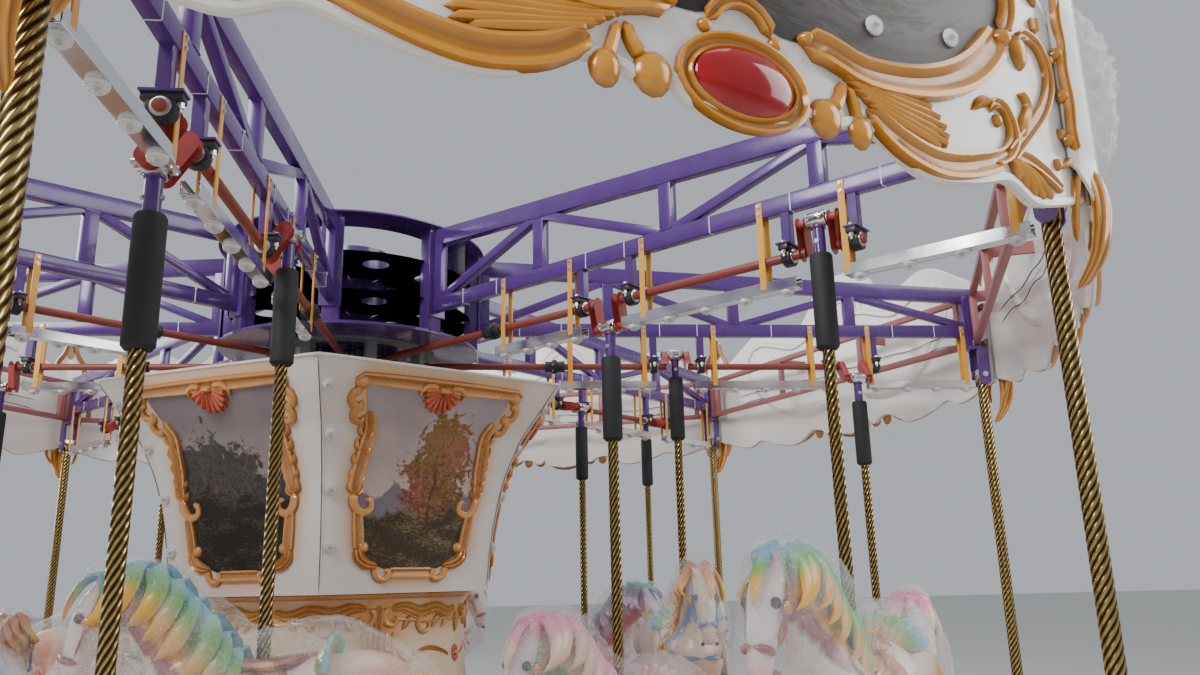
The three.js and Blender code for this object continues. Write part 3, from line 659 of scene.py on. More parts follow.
class Mould:
    """A mesh that is shaped part by part and then cast into pieces.

    Attributes:
        widest_step: The step along a wide carved stroke, as a share of its width.
        sunk: How deep the foot of carved work sits in its surface.
    """

    widest_step = 0.42
    sunk = 0.003

    def __init__(self, spacing: float = 0.025) -> None:
        """Start an empty mesh.

        Args:
            spacing: The least step along carved strokes; wide strokes have longer ones.
        """
        self.mesh, _ = self.part()
        self.finishes: list[Finish] = []
        self.spacing = spacing

    def part(self) -> tuple[bmesh.types.BMesh, bmesh.types.BMLayerItem]:
        """A new part and its shade layer."""
        made = bmesh.new()
        made.loops.layers.uv.new("UVMap")
        return made, made.verts.layers.float.new("shade")

    def add(self, part: bmesh.types.BMesh, finish: Finish, place: Matrix | None = None,
            shaded: bool = False) -> None:
        """Add a part in a finish.

        Args:
            part: The part, which is used up.
            finish: Its finish.
            place: Where it goes.
            shaded: Whether it brings its own shade; otherwise it is all raised.
        """
        if finish not in self.finishes:
            self.finishes.append(finish)
        if place:
            part.transform(place)
        index = self.finishes.index(finish)
        for face in part.faces:
            face.material_index = index
            face.smooth = True
        if not shaded:
            layer = part.verts.layers.float.get("shade") or part.verts.layers.float.new("shade")
            for vert in part.verts:
                vert[layer] = 1.0
        mesh = bpy.data.meshes.new("part")
        part.to_mesh(mesh)
        part.free()
        self.mesh.from_mesh(mesh)
        bpy.data.meshes.remove(mesh)

    def box(self, low: Sequence[float], high: Sequence[float], finish: Finish, bevel: float = 0.002,
            segments: int = 1, place: Matrix | None = None) -> None:
        """A box between two corners with bevelled edges."""
        part, _ = self.part()
        bmesh.ops.create_cube(part, size=1.0)
        size = Vector(high) - Vector(low)
        bmesh.ops.scale(part, vec=size, verts=part.verts)
        bmesh.ops.translate(part, vec=(Vector(low) + Vector(high)) / 2, verts=part.verts)
        self.soften(part, min(bevel, 0.45 * min(abs(x) for x in size)), segments)
        self.add(part, finish, place=place)

    def soften(self, part: bmesh.types.BMesh, width: float, segments: int = 1) -> None:
        """Bevel all edges of a part."""
        if width > 0:
            bmesh.ops.bevel(part, geom=part.edges[:], offset=width, segments=segments, profile=0.5,
                            affect="EDGES", material=-1, clamp_overlap=True)

    def soften_rims(self, part: bmesh.types.BMesh, width: float) -> None:
        """Bevel the edges of a part's end faces, which have more than four corners."""
        rims = [edge for edge in part.edges if any(len(face.verts) > 4 for face in edge.link_faces)]
        bmesh.ops.bevel(part, geom=rims, offset=width, segments=2, profile=0.5, affect="EDGES", material=-1)

    def bar(self, start: Sequence[float], end: Sequence[float], width: float, depth: float, finish: Finish,
            bevel: float = 0.003, place: Matrix | None = None) -> None:
        """A box section between two points: `width` sideways and `depth` in the upright plane."""
        a, b = Vector(start), Vector(end)
        run = b - a
        side = Vector((0, 0, 1)).cross(run)
        side = side.normalized() if side.length > 1e-6 else Vector((0, 1, 0))
        up = run.normalized().cross(side)
        turn = Matrix((run.normalized(), side, up)).transposed().to_4x4()
        part, _ = self.part()
        bmesh.ops.create_cube(part, size=1.0)
        bmesh.ops.scale(part, vec=(run.length, width, depth), verts=part.verts)
        self.soften(part, bevel, 2)
        self.add(part, finish, place=(place or Matrix()) @ Matrix.Translation((a + b) / 2) @ turn)

    def rod(self, start: Sequence[float], end: Sequence[float], radius: float, finish: Finish,
            far: float | None = None, sides: int = 24, bevel: float = 0.0,
            place: Matrix | None = None) -> None:
        """A round bar between two points, which may taper."""
        a, b = Vector(start), Vector(end)
        part, _ = self.part()
        bmesh.ops.create_cone(part, cap_ends=True, segments=sides, radius1=radius,
                              radius2=radius if far is None else far, depth=(b - a).length)
        if bevel:
            self.soften_rims(part, bevel)
        turn = (b - a).to_track_quat("Z", "Y").to_matrix().to_4x4()
        self.add(part, finish, place=(place or Matrix()) @ Matrix.Translation((a + b) / 2) @ turn)

    def bolt(self, at: Sequence[float], axis: Sequence[float], radius: float,
             place: Matrix | None = None) -> None:
        """A six-sided head on a washer."""
        start, way = Vector(at), Vector(axis).normalized()
        self.rod(start, start + way * radius * 0.25, radius * 1.35, ZINC, sides=12, place=place)
        self.rod(start, start + way * radius * 0.95, radius, ZINC, sides=6, place=place)

    def lathe(self, profile: Sequence[Point], finish: Finish, sides: int, place: Matrix | None = None,
              start: float = 0.0) -> None:
        """A turned solid from a profile of (radius, height)."""
        part, _ = self.part()
        verts = [part.verts.new((r * math.cos(start), r * math.sin(start), z)) for r, z in profile]
        edges = [part.edges.new(pair) for pair in zip(verts, verts[1:])]
        bmesh.ops.spin(part, geom=verts + edges, cent=(0, 0, 0), axis=(0, 0, 1), angle=2 * math.pi,
                       steps=sides, use_merge=True)
        bmesh.ops.remove_doubles(part, verts=part.verts, dist=1e-5)
        bmesh.ops.recalc_face_normals(part, faces=part.faces)
        self.add(part, finish, place=place)

    def dome(self, surface: Surface, centre: Point, radii: Point, rise: float, finish: Finish, rings: int = 6,
             sides: int = 12) -> None:
        """A rounded boss on a surface."""
        part, shade = self.part()
        bmesh.ops.create_uvsphere(part, u_segments=sides, v_segments=rings, radius=1.0)
        for vert in part.verts:
            along, up = centre[0] + vert.co.x * radii[0], centre[1] + vert.co.y * radii[1]
            # Painted shade: the boss is darker towards its foot.
            vert[shade] = 0.25 + 0.75 * max(0.0, vert.co.z)
            vert.co = surface.at(along, up, max(vert.co.z * rise, -self.sunk))
        bmesh.ops.recalc_face_normals(part, faces=part.faces)
        self.add(part, finish, shaded=True)

    def stroke(self, surface: Surface, path: Sequence[Point], widths: Sequence[float], rise: float,
               finish: Finish, section: Section = Section.ROUND, lift: float = 0.0, ring: bool = False,
               spacing: float | None = None) -> None:
        """A carved stroke along a path on a surface.

        Args:
            surface: What it lies on.
            path: The points that it passes.
            widths: Its widths, evenly spaced along it.
            rise: How far it stands proud where it is widest.
            finish: Its finish.
            section: Its cross-section.
            lift: How far its foot lies off the surface.
            ring: Whether it closes on itself.
            spacing: The step along it, where it isn't the mould's own.
        """
        spacing = spacing or max(self.spacing, self.widest_step * sum(widths) / len(widths))
        points = even_steps(path, spacing) if ring else curve_through(path, spacing)
        heights = section.value
        count, cells = len(points) - 1, len(heights)
        part, shade = self.part()
        bmesh.ops.create_grid(part, x_segments=count, y_segments=cells, size=0.5)
        run = sum(math.dist(a, b) for a, b in zip(points, points[1:]))
        widest = max(widths)
        for vert in part.verts:
            i = round((vert.co.x + 0.5) * count)
            j = round((vert.co.y + 0.5) * cells) % cells
            share = i / count
            before = points[(i - 1) % count] if ring else points[max(i - 1, 0)]
            after = points[(i + 1) % count] if ring else points[min(i + 1, count)]
            tangent = (Vector(after) - Vector(before)).normalized()
            width = along_list(widths, share)
            end = 1.0 if ring else rounded_end(min(share, 1 - share) * run, width)
            side = -math.cos(math.pi * j / (cells - 1)) * width * end / 2
            height = rise * heights[j] * end * (0.45 + 0.55 * width / widest)
            at = points[i % count] if ring else points[i]
            foot = -self.sunk if j in (0, cells - 1) else 0.0
            # Painted shade: the stroke's edges and hollows get a low shade, which the finish turns darker.
            vert[shade] = 0.10 + 0.90 * heights[j]
            vert.co = surface.at(at[0] - tangent.y * side, at[1] + tangent.x * side, lift + height + foot)
        bmesh.ops.remove_doubles(part, verts=part.verts, dist=2e-5)
        bmesh.ops.recalc_face_normals(part, faces=part.faces)
        self.add(part, finish, shaded=True)

    def sheet(self, surface: Surface, low: Callable[[float], float], high: Callable[[float], float],
              start: float, end: float, finish: Finish, columns: int = 60, rows: int = 8,
              thickness: float = 0.0, lift: Callable[[float, float], float] = lambda along, up: 0.0,
              shade_of: Callable[[float, float], float] = lambda along, up: 1.0) -> None:
        """A skin on a surface between a lower and an upper line.

        Args:
            surface: What it lies on.
            low: Its lower line, as a height at a place along the surface.
            high: Its upper line.
            start: Where it starts along the surface.
            end: Where it ends.
            finish: Its finish.
            columns: Steps along.
            rows: Steps up.
            thickness: Its wall, measured back into the surface.
            lift: How far a place of it lies off the surface.
            shade_of: The shade at a place.
        """
        part, shade = self.part()
        uv = part.loops.layers.uv["UVMap"]
        bmesh.ops.create_grid(part, x_segments=columns, y_segments=rows, size=0.5)
        for face in part.faces:
            for loop in face.loops:
                loop[uv].uv = (loop.vert.co.x + 0.5, loop.vert.co.y + 0.5)
        for vert in part.verts:
            along = blend(start, end, vert.co.x + 0.5)
            up = blend(low(along), high(along), vert.co.y + 0.5)
            vert[shade] = shade_of(along, up)
            vert.co = surface.at(along, up, lift(along, up))
        middle = (start + end) / 2, (low(start) + high(start)) / 2
        outwards = surface.at(*middle, 1.0) - surface.at(*middle, 0.0)
        part.normal_update()
        if sum(face.normal.dot(outwards) for face in part.faces) < 0:
            bmesh.ops.reverse_faces(part, faces=part.faces)
        if thickness:
            bmesh.ops.solidify(part, geom=part.faces[:], thickness=thickness)
            bmesh.ops.recalc_face_normals(part, faces=part.faces)
        self.add(part, finish, shaded=True)

    def tube(self, path: Sequence[Sequence[float]], widths: Sequence[float], depths: Sequence[float],
             finish: Finish, side: Sequence[float] = (0, 1, 0), sides: int = 10, flutes: int = 0,
             spacing: float | None = None, place: Matrix | None = None) -> None:
        """A rounded bar along a path in space, closed at both ends.

        Args:
            path: The points that it passes.
            widths: Its widths sideways, evenly spaced along it.
            depths: Its depths, evenly spaced along it.
            finish: Its finish.
            side: Which way its width lies.
            sides: How many sides it has.
            flutes: How many grooves run along it.
            spacing: The step along it, where it isn't the mould's own.
            place: Where it goes.
        """
        points = [Vector(point) for point in curve_through([tuple(p) for p in path], spacing or self.spacing)]
        count, run = len(points) - 1, sum((b - a).length for a, b in zip(points, points[1:]))
        part, shade = self.part()
        bmesh.ops.create_grid(part, x_segments=count, y_segments=sides, size=0.5)
        for vert in part.verts:
            i, angle = round((vert.co.x + 0.5) * count), 2 * math.pi * (vert.co.y + 0.5)
            share = i / count
            way = (points[min(i + 1, count)] - points[max(i - 1, 0)]).normalized()
            across = (Vector(side) - way * Vector(side).dot(way)).normalized()
            width, depth = along_list(widths, share), along_list(depths, share)
            end = rounded_end(min(share, 1 - share) * run, max(width, depth))
            groove = 0.5 - 0.5 * math.cos(flutes * angle) if flutes else 0.0
            size = end * (1 - 0.16 * groove) / 2
            # Painted shade: the flutes' hollows get a low shade, which the finish turns darker.
            vert[shade] = 1 - 0.85 * groove
            vert.co = (points[i] + across * (width * size * math.cos(angle))
                       + way.cross(across) * (depth * size * math.sin(angle)))
        bmesh.ops.remove_doubles(part, verts=part.verts, dist=2e-5)
        bmesh.ops.recalc_face_normals(part, faces=part.faces)
        self.add(part, finish, place=place, shaded=True)

    def copy_round(self, other: Mould, places: Iterable[Matrix]) -> None:
        """Add copies of another mould's mesh."""
        mesh = bpy.data.meshes.new("copy")
        other.mesh.to_mesh(mesh)
        for finish in other.finishes:
            if finish not in self.finishes:
                self.finishes.append(finish)
        indices = [self.finishes.index(finish) for finish in other.finishes]
        for polygon in mesh.polygons:
            polygon.material_index = indices[polygon.material_index]
        for place in places:
            turned = mesh.copy()
            turned.transform(place)
            self.mesh.from_mesh(turned)
            bpy.data.meshes.remove(turned)
        bpy.data.meshes.remove(mesh)

    def data(self, name: str) -> bpy.types.Mesh:
        """The finished mesh, with its materials."""
        mesh = bpy.data.meshes.new(name)
        self.mesh.to_mesh(mesh)
        mesh.set_sharp_from_angle(angle=SHARP_EDGE)
        for finish in self.finishes:
            mesh.materials.append(finish.material())
        return mesh


def only_verts(items: Iterable[object]) -> list[bmesh.types.BMVert]:
    """The vertices among what an operator made."""
    return [item for item in items if isinstance(item, bmesh.types.BMVert)]


def rounded_end(distance: float, width: float) -> float:
    """How full a stroke is at a distance from its end: a half round, as wide as it is long."""
    reach = max(width / 2, 1e-4)
    if distance >= reach:
        return 1.0
    return math.sqrt(max(0.0, 1 - (1 - distance / reach) ** 2))


def cast(name: str, mesh: bpy.types.Mesh, body: str, slot: str, replaces: Sequence[str] = (),
         place: Matrix | None = None) -> bpy.types.Object:
    """Put a mesh into the scene as a piece.

    Args:
        name: The piece's name.
        mesh: Its mesh, which is copied where it has a place of its own.
        body: The CAD body that it rides on.
        slot: The record's material slot; not used.
        replaces: CAD nodes that it stands for.
        place: Where the mesh goes.

    Returns:
        The piece.
    """
    data = mesh.copy() if place else mesh
    data.name = name
    if place:
        data.transform(place)
    made = bpy.data.objects.new(name, data)
    bpy.context.scene.collection.objects.link(made)
    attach(made, body)
    if replaces:
        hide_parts(*replaces)
    LOG.info("%s: %d faces, on %s", name, len(data.polygons), body)
    return made


# View


@dataclass
class View:
    """The camera, floor and lights."""

    position: Place = (0.947, -5.787, 1.65)
    azimuth: float = 84.28
    pitch: float = 14.16
    roll: float = 1.25
    focal_pixels: float = 954.4
    sensor: float = 36.0
    floor_size: float = 60.0

    def build(self) -> None:
        """Make the camera, the floor and the lights."""
        self.camera()
        self.floor()
        self.lights()

    def camera(self) -> None:
        """The camera at the photograph's viewpoint."""
        data = bpy.data.cameras.new("camera")
        data.sensor_width = self.sensor
        data.lens = self.focal_pixels / PHOTO_WIDTH * self.sensor
        data.clip_end = 200
        made = bpy.data.objects.new("camera", data)
        azimuth, pitch = math.radians(self.azimuth), math.radians(self.pitch)
        forward = Vector((math.cos(azimuth) * math.cos(pitch), math.sin(azimuth) * math.cos(pitch),
                          math.sin(pitch)))
        turn = forward.to_track_quat("-Z", "Y").to_matrix().to_4x4()
        made.matrix_world = Matrix.Translation(self.position) @ turn @ Matrix.Rotation(
            -math.radians(self.roll), 4, "Z")
        bpy.context.scene.collection.objects.link(made)
        bpy.context.scene.camera = made

    def floor(self) -> None:
        """A pale floor."""
        part = bmesh.new()
        bmesh.ops.create_grid(part, x_segments=1, y_segments=1, size=self.floor_size)
        mesh = bpy.data.meshes.new("floor")
        part.to_mesh(mesh)
        part.free()
        mesh.materials.append(Finish("pale_floor", (0.62, 0.62, 0.60), 0.7, mottle=0.02).material())
        made = bpy.data.objects.new("floor", mesh)
        made.location.z = -0.002
        bpy.context.scene.collection.objects.link(made)

    def lights(self) -> None:
        """Soft light from the sky and three large lamps."""
        world = bpy.data.worlds.new("studio")
        world.use_nodes = True
        background = world.node_tree.nodes["Background"]
        background.inputs["Color"].default_value = (0.80, 0.84, 0.90, 1.0)
        background.inputs["Strength"].default_value = 0.60
        bpy.context.scene.world = world
        self.lamp("key_light", (-6.0, -9.0, 8.5), 5.0, 1250)
        self.lamp("window_light", (-9.0, 6.0, 5.0), 6.0, 620)
        self.lamp("right_light", (9.0, -3.0, 6.0), 6.0, 460)
        self.lamp("roof_light", (0.0, 0.0, 11.0), 9.0, 420)

    def lamp(self, name: str, at: Place, size: float, power: float) -> None:
        """One large square lamp that looks at the middle of the ride."""
        data = bpy.data.lights.new(name, "AREA")
        data.size, data.energy = size, power
        made = bpy.data.objects.new(name, data)
        aim = Vector((0, 0, 1.8)) - Vector(at)
        made.matrix_world = Matrix.Translation(at) @ aim.to_track_quat("-Z", "Y").to_matrix().to_4x4()
        bpy.context.scene.collection.objects.link(made)


# Frame that carries the ride


@dataclass
class Hub:
    """The purple cage at the centre: rims, shelves with round holes, posts and bearings."""

    rim_inner: float = 0.560
    rim_outer: float = 0.800
    flange: float = 0.764
    shelf: float = 0.720
    plate: float = 0.012
    shelves: tuple[float, float] = (3.210, 3.430)
    band_heights: tuple[float, ...] = (3.13, 3.30, 3.50)
    hole_circle: float = 0.500
    hole: float = 0.075
    post: tuple[float, float] = (0.680, 0.764)
    sleeve: tuple[float, float] = (0.175, 0.210)
    sleeve_seat: float = 3.6005
    bearing_at: float = 0.252

    def build(self) -> None:
        """Cast the cage."""
        mould = Mould()
        top, plate = RIDE.hub_top, self.plate
        inner, outer = self.sleeve
        seat = self.sleeve_seat
        mould.lathe([(0.0, seat), (inner, seat), (inner, RIDE.hub_bottom), (outer, RIDE.hub_bottom),
                     (outer, top + plate), (0.0, top + plate)], PURPLE, 32)
        self.disc(mould, inner, self.flange, RIDE.hub_bottom, 0.018)
        self.disc(mould, self.rim_inner, self.rim_outer, top, plate)
        for height in self.shelves:
            self.pierced_shelf(mould, height)
        for i in range(RIDE.sweeps):
            place = Matrix.Rotation(i * RIDE.step, 4, "Z")
            low, high = self.post
            mould.box((low, -0.045, RIDE.hub_bottom + 0.005), (high, 0.045, top + 0.004), PURPLE, 0.006, 2,
                      place)
            for height in self.band_heights:
                mould.box((high - 0.001, -0.049, height), (high + 0.001, 0.049, height + 0.05), PURPLE, 0.001,
                          place=place)
            Hanger().add_to(mould, self.bearing_at, RIDE.hub_bottom + 0.005, place)
        cast("hub_cage_steel", mould.data("hub"), "turning_frame", "purple_paint", ["hub_cage"])

    def disc(self, mould: Mould, inner: float, outer: float, bottom: float, thickness: float) -> None:
        """A flat ring with slightly rounded edges."""
        soft = 0.002
        top = bottom + thickness
        mould.lathe([(inner, bottom), (outer - soft, bottom), (outer, bottom + soft), (outer, top - soft),
                     (outer - soft, top), (inner, top), (inner, bottom)], PURPLE, 64)

    def pierced_shelf(self, mould: Mould, height: float) -> None:
        """A shelf with eight round holes.

        Each eighth is a grid that is bent from a square round its hole, so the hole stays round.
        """
        inner, half = self.sleeve[1] - 0.02, RIDE.step / 2
        for i in range(RIDE.sweeps):
            part, _ = mould.part()
            ring = bmesh.ops.create_circle(part, segments=32, radius=self.hole)["verts"]
            middle = Vector((self.hole_circle, 0, height))
            for vert in ring:
                vert.co += middle
            rim = bmesh.ops.extrude_edge_only(part, edges=part.edges[:])["geom"]
            for vert in only_verts(rim):
                vert.co = self.sector_edge(vert.co - middle, inner, half, height)
            bmesh.ops.solidify(part, geom=part.faces[:], thickness=self.plate)
            bmesh.ops.recalc_face_normals(part, faces=part.faces)
            mould.add(part, PURPLE, place=Matrix.Rotation((i + 0.5) * RIDE.step, 4, "Z"))

    def sector_edge(self, way: Vector, inner: float, half: float, height: float) -> Vector:
        """Where a ray from the hole's middle leaves its eighth of the shelf."""
        way = way.normalized()
        start = Vector((self.hole_circle, 0, 0))
        reach = 2.0
        for sign in (-1, 1):
            normal = Vector((-math.sin(half), sign * math.cos(half), 0))
            slope = way.dot(normal)
            if slope > 1e-6:
                reach = min(reach, -start.dot(normal) / slope)
        for radius, keep in ((self.shelf, 1), (inner, -1)):
            b, c = start.dot(way), start.length_squared - radius ** 2
            inside = b * b - c
            if inside > 0:
                hit = -b + keep * math.sqrt(inside)
                if hit > 0:
                    reach = min(reach, hit)
        point = start + way * reach
        return Vector((point.x, point.y, height))


@dataclass(frozen=True)
class Hanger:
    """A drop post with a cap plate and a black bearing block for the crankshaft.

    Attributes:
        post: Half the post's size outwards and sideways.
        cap: Half the cap plate's.
        block: Half the block's.
        bearing: Half the length of the bearing and its radius.
        bush: Half the length of the bush and its radius.
        bolt_side: How far to the side the bolts stand.
    """

    post: Point = (0.021, 0.021)
    cap: Point = (0.030, 0.062)
    block: Point = (0.022, 0.058)
    bearing: Point = (0.020, 0.043)
    bush: Point = (0.024, 0.030)
    bolt_side: float = 0.046

    def add_to(self, mould: Mould, at: float, top: float, place: Matrix | None = None) -> None:
        """Shape one hanger.

        Args:
            mould: The mesh being shaped.
            at: How far out the bearing stands.
            top: Where the post's top is.
            place: Where the sweep is.
        """
        axis = RIDE.crank_z
        for (out, side), low, high, finish, bevel, segments in (
                (self.post, axis + 0.050, top, PURPLE, 0.003, 1),
                (self.cap, axis + 0.044, axis + 0.052, PURPLE, 0.001, 1),
                (self.block, axis + 0.020, axis + 0.044, CASTING, 0.004, 2)):
            mould.box((at - out, -side, low), (at + out, side, high), finish, bevel, segments, place)
        for (out, radius), finish, sides, bevel in ((self.bearing, CASTING, 28, 0.004),
                                                    (self.bush, ZINC, 24, 0.003)):
            mould.rod((at - out, 0, axis), (at + out, 0, axis), radius, finish, sides=sides, bevel=bevel,
                      place=place)
        for side in (-self.bolt_side, self.bolt_side):
            mould.rod((at, side, axis + 0.004), (at, side, axis + 0.020), 0.011, ZINC, sides=6, place=place)
            mould.rod((at, side, axis - 0.008), (at, side, axis + 0.006), 0.006, ZINC, sides=10, place=place)
            mould.bolt((at, side, axis + 0.052), (0, 0, 1), 0.010, place=place)


@dataclass
class Sweep:
    """One roof arm: chords, posts, braces, fork, bearings, straps, light bars and lamps."""

    inner: float = 0.7658
    outer: float = 3.990
    width: float = 0.050
    chord_bottom: float = 3.122
    chord_height: float = 0.078
    top_height: float = 0.096
    hub_top: float = 3.608
    end_top: float = 3.446
    stations: tuple[float, ...] = (1.580, 2.384, 3.149)
    post_width: float = 0.070
    end_post: float = 3.950
    brace: float = 0.046
    hanger_offset: float = 0.150
    strap_top: float = 3.190
    bar_bottom: float = 2.786
    bar_top: float = 2.833
    bar_half: float = 0.0245
    sheet: float = 0.005
    lamp_pitch: float = 0.195
    tie_places: tuple[float, ...] = (1.02, 1.28, 1.90, 2.14, 2.62, 3.02, 3.42, 3.70)
    bars: tuple[tuple[float, float, tuple[float, float]], ...] = (
        (1.275, 1.870, (1.336, 1.800)),
        (2.115, 3.025, (2.245, 2.875)),
        (3.237, 3.940, (3.252, 3.890)),
    )

    def build(self) -> None:
        """Cast the eight sweeps with their lamps."""
        steel, trim, lamps = Mould(), Mould(), Mould()
        self.truss(steel)
        self.fork(steel)
        for at in sorted(r + side * self.hanger_offset for r in RIDE.rows.values() for side in (-1, 1)):
            Hanger().add_to(steel, at, self.chord_bottom + 0.004)
        self.ties(steel)
        for start, end, straps in self.bars:
            self.light_bar(trim, start, end, straps)
            self.lamps(lamps, start, end)
        meshes = steel.data("sweep"), trim.data("trim"), lamps.data("lamps")
        for n in RIDE.numbers:
            place = RIDE.sweep(n)
            cast(f"sweep_steel_{n}", meshes[0], "turning_frame", "purple_paint", [f"sweep_truss_{n}"], place)
            cast(f"light_bars_{n}", meshes[1], "turning_frame", "chrome_trim", place=place)
            cast(f"bar_lamps_{n}", meshes[2], "turning_frame", "clear_lamp", place=place)

    def top_at(self, x: float) -> float:
        """The height of the sweep's upper edge."""
        return blend(self.hub_top, self.end_top, (x - self.inner) / (self.outer - self.inner))

    def truss(self, mould: Mould) -> None:
        """Chords, posts and braces of box tube."""
        low = self.chord_bottom + self.chord_height / 2
        half = self.top_height / 2
        last = self.end_post - 0.040
        mould.bar((self.inner, 0, low), (last, 0, low), self.width, self.chord_height, PURPLE)
        mould.bar((self.inner, 0, self.top_at(self.inner) - half),
                  (self.outer, 0, self.top_at(self.outer) - half), self.width, self.top_height, PURPLE)
        posts = [(self.inner + 0.035, self.chord_bottom), *((x, low) for x in self.stations)]
        for x, bottom in posts:
            mould.bar((x, 0, bottom), (x, 0, self.top_at(x) - half), self.width - 0.001, self.post_width,
                      PURPLE)
        mould.bar((self.end_post, 0, 3.040), (self.end_post, 0, self.top_at(self.end_post) - half),
                  self.width + 0.001, 0.080, PURPLE)
        edges = [self.inner + 0.035, *self.stations, self.end_post]
        for i, (x0, x1) in enumerate(zip(edges, edges[1:])):
            floor = self.chord_bottom + self.chord_height - 0.01
            roof0, roof1 = (self.top_at(x) - self.top_height + 0.01 for x in (x0, x1))
            start = (x0 + 0.02, 0, floor) if i % 2 == 0 else (x0 + 0.02, 0, roof0)
            end = (x1 - 0.02, 0, roof1) if i % 2 == 0 else (x1 - 0.02, 0, floor)
            mould.bar(start, end, self.width - 0.006, self.brace, PURPLE)
        for x, _ in posts[1:]:
            self.welds(mould, x)
        mould.box((self.inner + 0.0003, -0.060, self.chord_bottom - 0.030),
                  (self.inner + 0.014, 0.060, self.hub_top - 0.010), PURPLE, 0.002)

    def welds(self, mould: Mould, x: float) -> None:
        """Weld beads round the two ends of a post."""
        half, side = self.post_width / 2, self.width / 2
        for z in (self.chord_bottom + self.chord_height, self.top_at(x) - self.top_height):
            for dx in (-half, half):
                mould.rod((x + dx, -side + 0.004, z), (x + dx, side - 0.004, z), 0.006, PURPLE, sides=6)
            for dy in (-side + 0.001, side - 0.001):
                mould.rod((x - half, dy, z), (x + half, dy, z), 0.0045, PURPLE, sides=6)

    def fork(self, mould: Mould) -> None:
        """The fork that holds the fixed pole, with a rounded neck and its bolt."""
        middle, bolt_at, neck = RIDE.pole_circle, 2.870, 0.038
        mould.box((self.end_post - 0.030, -0.058, 3.035), (middle + 0.040, 0.058, 3.055), PURPLE, 0.003, 2)
        for side in (-1, 1):
            low, high = sorted((side * 0.0465, side * 0.058))
            part, _ = mould.part()
            points = [(middle - neck, 3.040), (middle - neck, 2.850)]
            points += [(middle + neck * math.cos(a), 2.840 + neck * math.sin(a))
                       for a in (math.radians(180 + 18 * i) for i in range(1, 10))]
            points += [(middle + neck, 2.850), (middle + neck, 3.040)]
            face = part.faces.new([part.verts.new((x, low, z)) for x, z in points])
            grown = bmesh.ops.extrude_face_region(part, geom=[face])["geom"]
            bmesh.ops.translate(part, vec=(0, high - low, 0), verts=only_verts(grown))
            bmesh.ops.recalc_face_normals(part, faces=part.faces)
            mould.add(part, PURPLE)
            mould.bolt((middle, side * 0.058, bolt_at), (0, side, 0), 0.013)
        mould.rod((middle - 0.02, 0, 3.050), (middle - 0.02, 0, 3.100), 0.034, PURPLE, sides=20)

    def ties(self, mould: Mould) -> None:
        """White cable ties round the lower chord."""
        side, low = self.width / 2, self.chord_bottom
        high = low + self.chord_height
        out = 0.0012
        for x in self.tie_places:
            mould.box((x, -side - out, low - out), (x + 0.005, side + out, low), CABLE_TIE, 0)
            mould.box((x, -side - out, high), (x + 0.005, side + out, high + out), CABLE_TIE, 0)
            for dy in (-side - out, side):
                mould.box((x, dy, low - out), (x + 0.005, dy + out, high + out), CABLE_TIE, 0)
            mould.box((x - 0.002, side, high - 0.014), (x + 0.007, side + 0.007, high - 0.004), CABLE_TIE,
                      0.001)

    def light_bar(self, mould: Mould, start: float, end: float, straps: tuple[float, float]) -> None:
        """A chromed channel hung from two pairs of yellow straps."""
        half, sheet = self.bar_half, self.sheet
        for side in (-1, 1):
            low, high = sorted((side * half, side * (half + sheet)))
            mould.box((start, low, self.bar_bottom), (end, high, self.bar_top), CHROME, 0.0012)
            lip = sorted((side * (half - 0.010), side * (half + 0.001)))
            mould.box((start, lip[0], self.bar_top - 0.003), (end, lip[1], self.bar_top), CHROME, 0.0008)
            for x in straps:
                mould.box((x - 0.015, low + side * 0.0002, self.bar_top - 0.030),
                          (x + 0.015, high + side * 0.0008, self.strap_top), YELLOW, 0.0015)
                for z in (self.strap_top - 0.016, self.strap_top - 0.050):
                    mould.bolt((x, side * (half + sheet + 0.0008), z), (0, side, 0), 0.0075)
        mould.box((start + 0.001, -half - 0.001, self.bar_bottom + 0.001),
                  (end - 0.001, half + 0.001, self.bar_bottom + 0.006), CHROME, 0.001)

    def lamps(self, mould: Mould, start: float, end: float) -> None:
        """Clear caps under a light bar."""
        count = max(2, round((end - start - 0.09) / self.lamp_pitch) + 1)
        for i in range(count):
            x = blend(start + 0.055, end - 0.055, i / (count - 1))
            cap_lamp(mould, Matrix.Translation((x, 0, self.bar_bottom)) @ Matrix.Rotation(math.pi, 4, "X"))


def facing(face: Surface, along: float, up: float, lift: float) -> Matrix:
    """The place of a lamp that looks straight out of a surface."""
    foot = face.at(along, up, lift)
    out = (face.at(along, up, 1.0) - face.at(along, up, 0.0)).normalized()
    return Matrix.Translation(foot) @ out.to_track_quat("Z", "Y").to_matrix().to_4x4()


def cap_lamp(mould: Mould, place: Matrix) -> None:
    """A round clear cap with facets on a pale base, standing along z."""
    radius = LAMP_RADIUS
    mould.lathe([(0.0, -0.002), (radius * 0.97, -0.002), (radius * 1.02, 0.003), (radius * 0.97, 0.007),
                 (0.0, 0.007)], GELCOAT, 12, place)
    mould.lathe([(radius * 0.96, 0.006), (radius * 0.92, 0.014), (radius * 0.62, 0.021),
                 (radius * 0.50, 0.019), (radius * 0.22, 0.025), (0.0, 0.024)], LAMP_CAP, 12, place)
    mould.rod((0, 0, 0.007), (0, 0, 0.017), radius * 0.26, CASTING, sides=8, place=place)


# Cranks and poles


